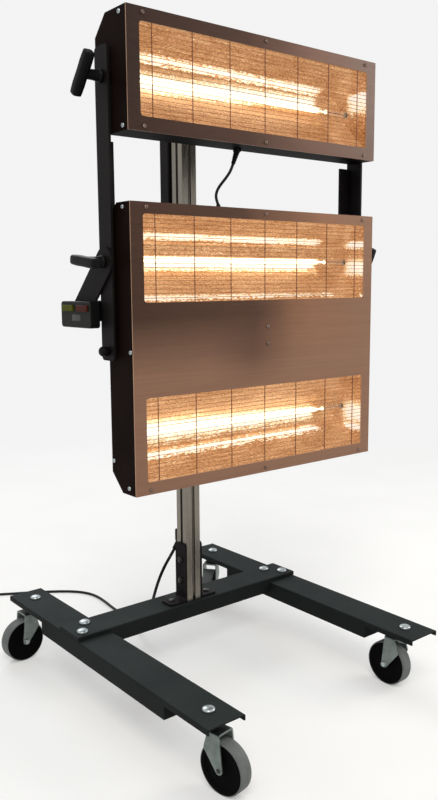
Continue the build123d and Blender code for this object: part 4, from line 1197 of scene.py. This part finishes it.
def addCrown(mesh, look, place):
    # a sheet that rolls over into both cheeks
    half, bend = look["gap"] / 2 + look["sheet"], look["bend"]
    roll = look["crownTop"] - bend
    outer = [(-half, roll - 0.2)]
    for k in range(look["crownArcs"] + 1):
        turn = math.pi / 2 * k / look["crownArcs"]
        outer.append((-half + bend - bend * math.cos(turn), roll + bend * math.sin(turn)))
    outer += [(-reach, level) for reach, level in outer[::-1]]
    inner = [(reach * (half - look["sheet"]) / half,
              level - (look["crownThick"] if abs(reach) < half - 1 else 0))
             for reach, level in outer]
    back, front = [[mesh.verts.new(onCaster(place, reach, run, level))
                    for reach, level in outer + inner[::-1]]
                   for run in (look["crownBack"], look["crownFront"])]
    joinRings(mesh, front, back)
    for ring in (back, front):
        for k in range(len(outer) - 1):
            mesh.faces.new((ring[k], ring[k + 1], ring[-k - 2], ring[-k - 1]))


def makeForks(look):
    half, axleY, axleZ = look["gap"] / 2 + look["sheet"], casters["trail"], casters["radius"]
    cheek = hullOutline(look["cheek"])
    headRadius, thick = look["head"]
    hole, roof = look["nutHole"]
    flat, tall = look["nut"]
    for corner in casters["corners"]:
        place = casterPlace(corner)
        mesh = bmesh.new()
        addCheek(mesh, cheek, -half, -look["gap"] / 2, place)
        addCheek(mesh, cheek, look["gap"] / 2, half, place)
        addCrown(mesh, look, place)
        turned(mesh, [(-roof, 0), (-roof, hole), (-thick, hole), (-thick, headRadius - 0.6),
                      (0.6 - thick, headRadius), (-0.6, headRadius), (0, headRadius - 0.6),
                      (0, 0)],
               onCaster(place, 0, 0, look["headTop"]), (0, 0, 1), sides=48)
        axle = place.to_3x3() @ Vector((1, 0, 0))
        left, right = (onCaster(place, x, axleY, axleZ) for x in (-half, half))
        turned(mesh, dome(*look["axleHead"]), right, axle, sides=36, index=2)
        turned(mesh, [(0, 0), (0, flat), (0.8, flat, "hex"), (tall - 0.8, flat, "hex"),
                      (tall, flat - 1), (tall, 0)], left, -axle, sides=36, index=1)
        turned(mesh, rodShape(look["axle"], 2 * half), left, axle, sides=24, index=1)
        finished(corner + "Fork", mesh, ["forkSteel", "zinc", "darkBolt"], corner + "_swivel",
                 [corner + "_fork"])


makeForks(forks)

wheels = {                       # half sections (along, radius), from the inner edge outwards
    "disc": [(16.75, 4.05), (16.75, 10.6), (16.25, 11.6), (13.6, 13.2), (13.3, 17), (12.9, 19),
             (12.9, 36), (13.3, 38), (14.2, 39), (14.3, 47.2), (13.6, 47.6)],
    "tread": [(14.4, 47.2), (14.5, 47.7), (14, 49), (12.9, 49.7), (11.5, 49.95), (1.2, 50),
              (0.3, 49.88)],
}


def mirrored(side):
    # both halves of a wheel's section, closed along the inner edge
    return [(-along, radius) for along, radius in side] + side[::-1] + [(-side[0][0], side[0][1])]


def makeWheels(look):
    for corner in casters["corners"]:
        place = casterPlace(corner)
        axle = place.to_3x3() @ Vector((1, 0, 0))
        middle = onCaster(place, 0, casters["trail"], casters["radius"])
        for name, section, finish, slot, sides, crease in (
                ("Wheel", "disc", "discPlastic", "caster_disc", 72, meshing["crease"]),
                ("Tyre", "tread", "treadGrey", "caster_tread", 96, 50)):
            mesh = bmesh.new()
            turned(mesh, mirrored(look[section]), middle, axle, sides)
            finished(corner + name, mesh, [finish], corner + "_wheel",
                     [corner + "_" + name.lower()], crease)


makeWheels(wheels)
print("casters made")

lamps = {
    "half": 311, "y": -212, "radius": 6, "seal": 12,
    "sealShape": [(0, 0), (0, 3), (0.8, 3.9), (9, 4.1), (12, 5.2), (16, 6)],
    "tubeFrom": 20, "tubeSteps": 24,
    "coilFrom": -296, "coilTo": 212, "coilRadius": 1.6, "coilPitch": 3.2, "coilWire": 0.45,
    "coilSteps": 8,              # points in each of the wire's turns
    "leadWire": 0.6, "hotLead": 1.5, "hotLeadTo": 236,
    "discs": (236, -150, 60), "disc": (4.6, 0.8),     # places, radius and thickness
    "lower": ((621, 958), "head", "lower_lamps"),     # heights, body and node
    "upper": ((1287,), "upper_heater", "upper_lamp"),
}


def addTube(mesh, look, level):
    half, run = look["half"], look["half"] - look["tubeFrom"]
    end = [(along - half, radius) for along, radius in look["sealShape"]]
    middle = [(-run + 2 * run * k / look["tubeSteps"], look["radius"])
              for k in range(look["tubeSteps"] + 1)]
    turned(mesh, end + middle + [(-along, radius) for along, radius in end[::-1]],
           at(0, look["y"], level), (1, 0, 0), sides=28)


def addFilament(mesh, look, level):
    # a wound wire between straight leads, with discs that hold it in the tube's middle
    steps, pitch, radius = look["coilSteps"], look["coilPitch"], look["coilRadius"]
    turns = (look["coilTo"] - look["coilFrom"]) / pitch
    points = []
    for k in range(int(turns * steps) + 1):
        angle = 2 * math.pi * k / steps
        points.append(at(look["coilFrom"] + pitch * k / steps,
                         look["y"] + radius * math.cos(angle), level + radius * math.sin(angle)))
    sweptTube(mesh, points, look["coilWire"] * 0.001, sides=4)
    inner = look["half"] - look["seal"]
    for start, stop, reach in ((-inner, look["coilFrom"], look["leadWire"]),
                               (look["coilTo"], look["hotLeadTo"], look["hotLead"]),
                               (look["hotLeadTo"], inner, look["leadWire"])):
        turned(mesh, rodShape(reach, stop - start), at(start, look["y"], level), (1, 0, 0), sides=8)
    for along in look["discs"]:
        turned(mesh, rodShape(*look["disc"]), at(along, look["y"], level), (1, 0, 0), sides=20)


def makeLamps(look, heater):
    levels, body, nodeName = look[heater]
    glass, wire = bmesh.new(), bmesh.new()
    for level in levels:
        addTube(glass, look, level)
        addFilament(wire, look, level)
    finished(heater + "LampTubes", glass, ["quartzGlow"], body, [nodeName])
    finished(heater + "Filaments", wire, ["filamentGlow"], body, ())


for heaterName in ("upper", "lower"):
    makeLamps(lamps, heaterName)
print("lamps made")

blankPlate = {"low": (-363.65, -156, 843), "high": (-363.0, -124, 855), "rounding": 0.25}


def makeBlankPlate(look):
    mesh = bmesh.new()
    boxed(mesh, look["low"], look["high"], look["rounding"])
    return finished("boxPlate", mesh, ["plateGrey"], "carriage")


makeBlankPlate(blankPlate)

glands = {
    "nut": (9, 6), "sleeve": (29, 6.5, 4),
    "sleeveFrom": 0.6,           # share of the nut's height
    # seat, the nut's way, the sleeve's way, body and node
    "lowerGland": ((-65, -213, 1041), (0, 1, 1), (0.05, 0.3, 0.95), "head", "lower_gland"),
    "upperGland": ((-33, -226, 1181), (0, 0, -1), (-0.4, 0, -1), "upper_heater", "upper_gland"),
}
grooves = {"from": 0.12, "to": 0.86, "share": 0.62, "depth": 0.7, "slope": 0.4}


def ribbedSleeve(length, root, tip, count=6):
    # tapered strain relief with grooves that leave narrow ribs between them
    steps = [(0, 0), (0, root)]
    pitch = length * (grooves["to"] - grooves["from"]) / count
    for k in range(count):
        low = length * grooves["from"] + pitch * k
        high = low + pitch * grooves["share"]
        reach = root + (tip - root) * low / length
        steps += [(low, reach), (low + grooves["slope"], reach - grooves["depth"]),
                  (high - grooves["slope"], reach - grooves["depth"] - 0.1), (high, reach - 0.12)]
    return steps + [(length * 0.9, tip + 0.25), (length - 0.5, tip + 0.1), (length, tip - 0.5),
                    (length, 0)]


def makeGlands(look):
    for name in ("lowerGland", "upperGland"):
        seat, normal, way, body, nodeName = look[name]
        radius, height = look["nut"]
        mesh = bmesh.new()
        turned(mesh, [(0, 0), (0, radius), (1.4, radius), (1.6, radius - 0.2, "hex"),
                      (height - 1, radius - 0.2, "hex"), (height, radius - 1.4), (height, 0)],
               at(*seat), normal, sides=36)
        foot = Vector(seat) + Vector(normal).normalized() * look["sleeveFrom"] * height
        turned(mesh, ribbedSleeve(*look["sleeve"]), at(*foot), way, sides=32)
        finished(name, mesh, ["blackPlastic"], body, [nodeName])


makeGlands(glands)

cordOutlet = {
    "low": (-11, 20, 290), "high": (11, 42, 320), "rounding": 2.5,
    "seat": (0, 31, 300), "way": (-0.5, 0.15, -0.85), "sleeve": (34, 8, 5.5),
}


def makeCordOutlet(look):
    mesh = bmesh.new()
    boxed(mesh, look["low"], look["high"], look["rounding"])
    turned(mesh, ribbedSleeve(*look["sleeve"], 7), at(*look["seat"]), look["way"], sides=36)
    return finished("cordOutlet", mesh, ["blackPlastic"], "base", ["cord_outlet"])


makeCordOutlet(cordOutlet)

mainsPlug = {
    "grip": [(0, 0), (0, 5), (3, 5.2), (3.4, 4.7), (6, 4.9), (6.4, 6), (9, 6.4), (9.4, 5.8),
             (12, 6.4), (12.4, 7.6), (16, 9), (22, 12), (26, 13)],
    "bodyFrom": 26, "bodyTo": 58, "radius": 17,
    "pin": [(0, 0), (0, 2.4), (17.4, 2.4), (18.6, 1.5), (19, 0)], "pinSpread": 9.5,
}


def makeMainsPlug(look):
    start, way = coilTail(mainsCord)
    back = start + way * mainsCord["tail"][-1]
    side = Vector((-way.y, way.x, 0))
    low, high, radius = look["bodyFrom"], look["bodyTo"], look["radius"]
    mesh = bmesh.new()
    body = [(low, radius - 3), (low + 1, radius - 1), (low + 3, radius, "knurl"),
            (high - 6, radius, "knurl"), (high - 5, radius - 0.8), (high - 0.8, radius - 1),
            (high, radius - 2), (high, 0)]
    turned(mesh, look["grip"] + body, at(*back), way, sides=96)
    for sign in (-1, 1):
        foot = back + way * high + side * sign * look["pinSpread"]
        turned(mesh, look["pin"], at(*foot), way, sides=24, index=1)
    return finished("mainsPlug", mesh, ["blackPlastic", "zinc"], "base", ["mains_plug"])


plugPiece = makeMainsPlug(mainsPlug)
print("leads finished")
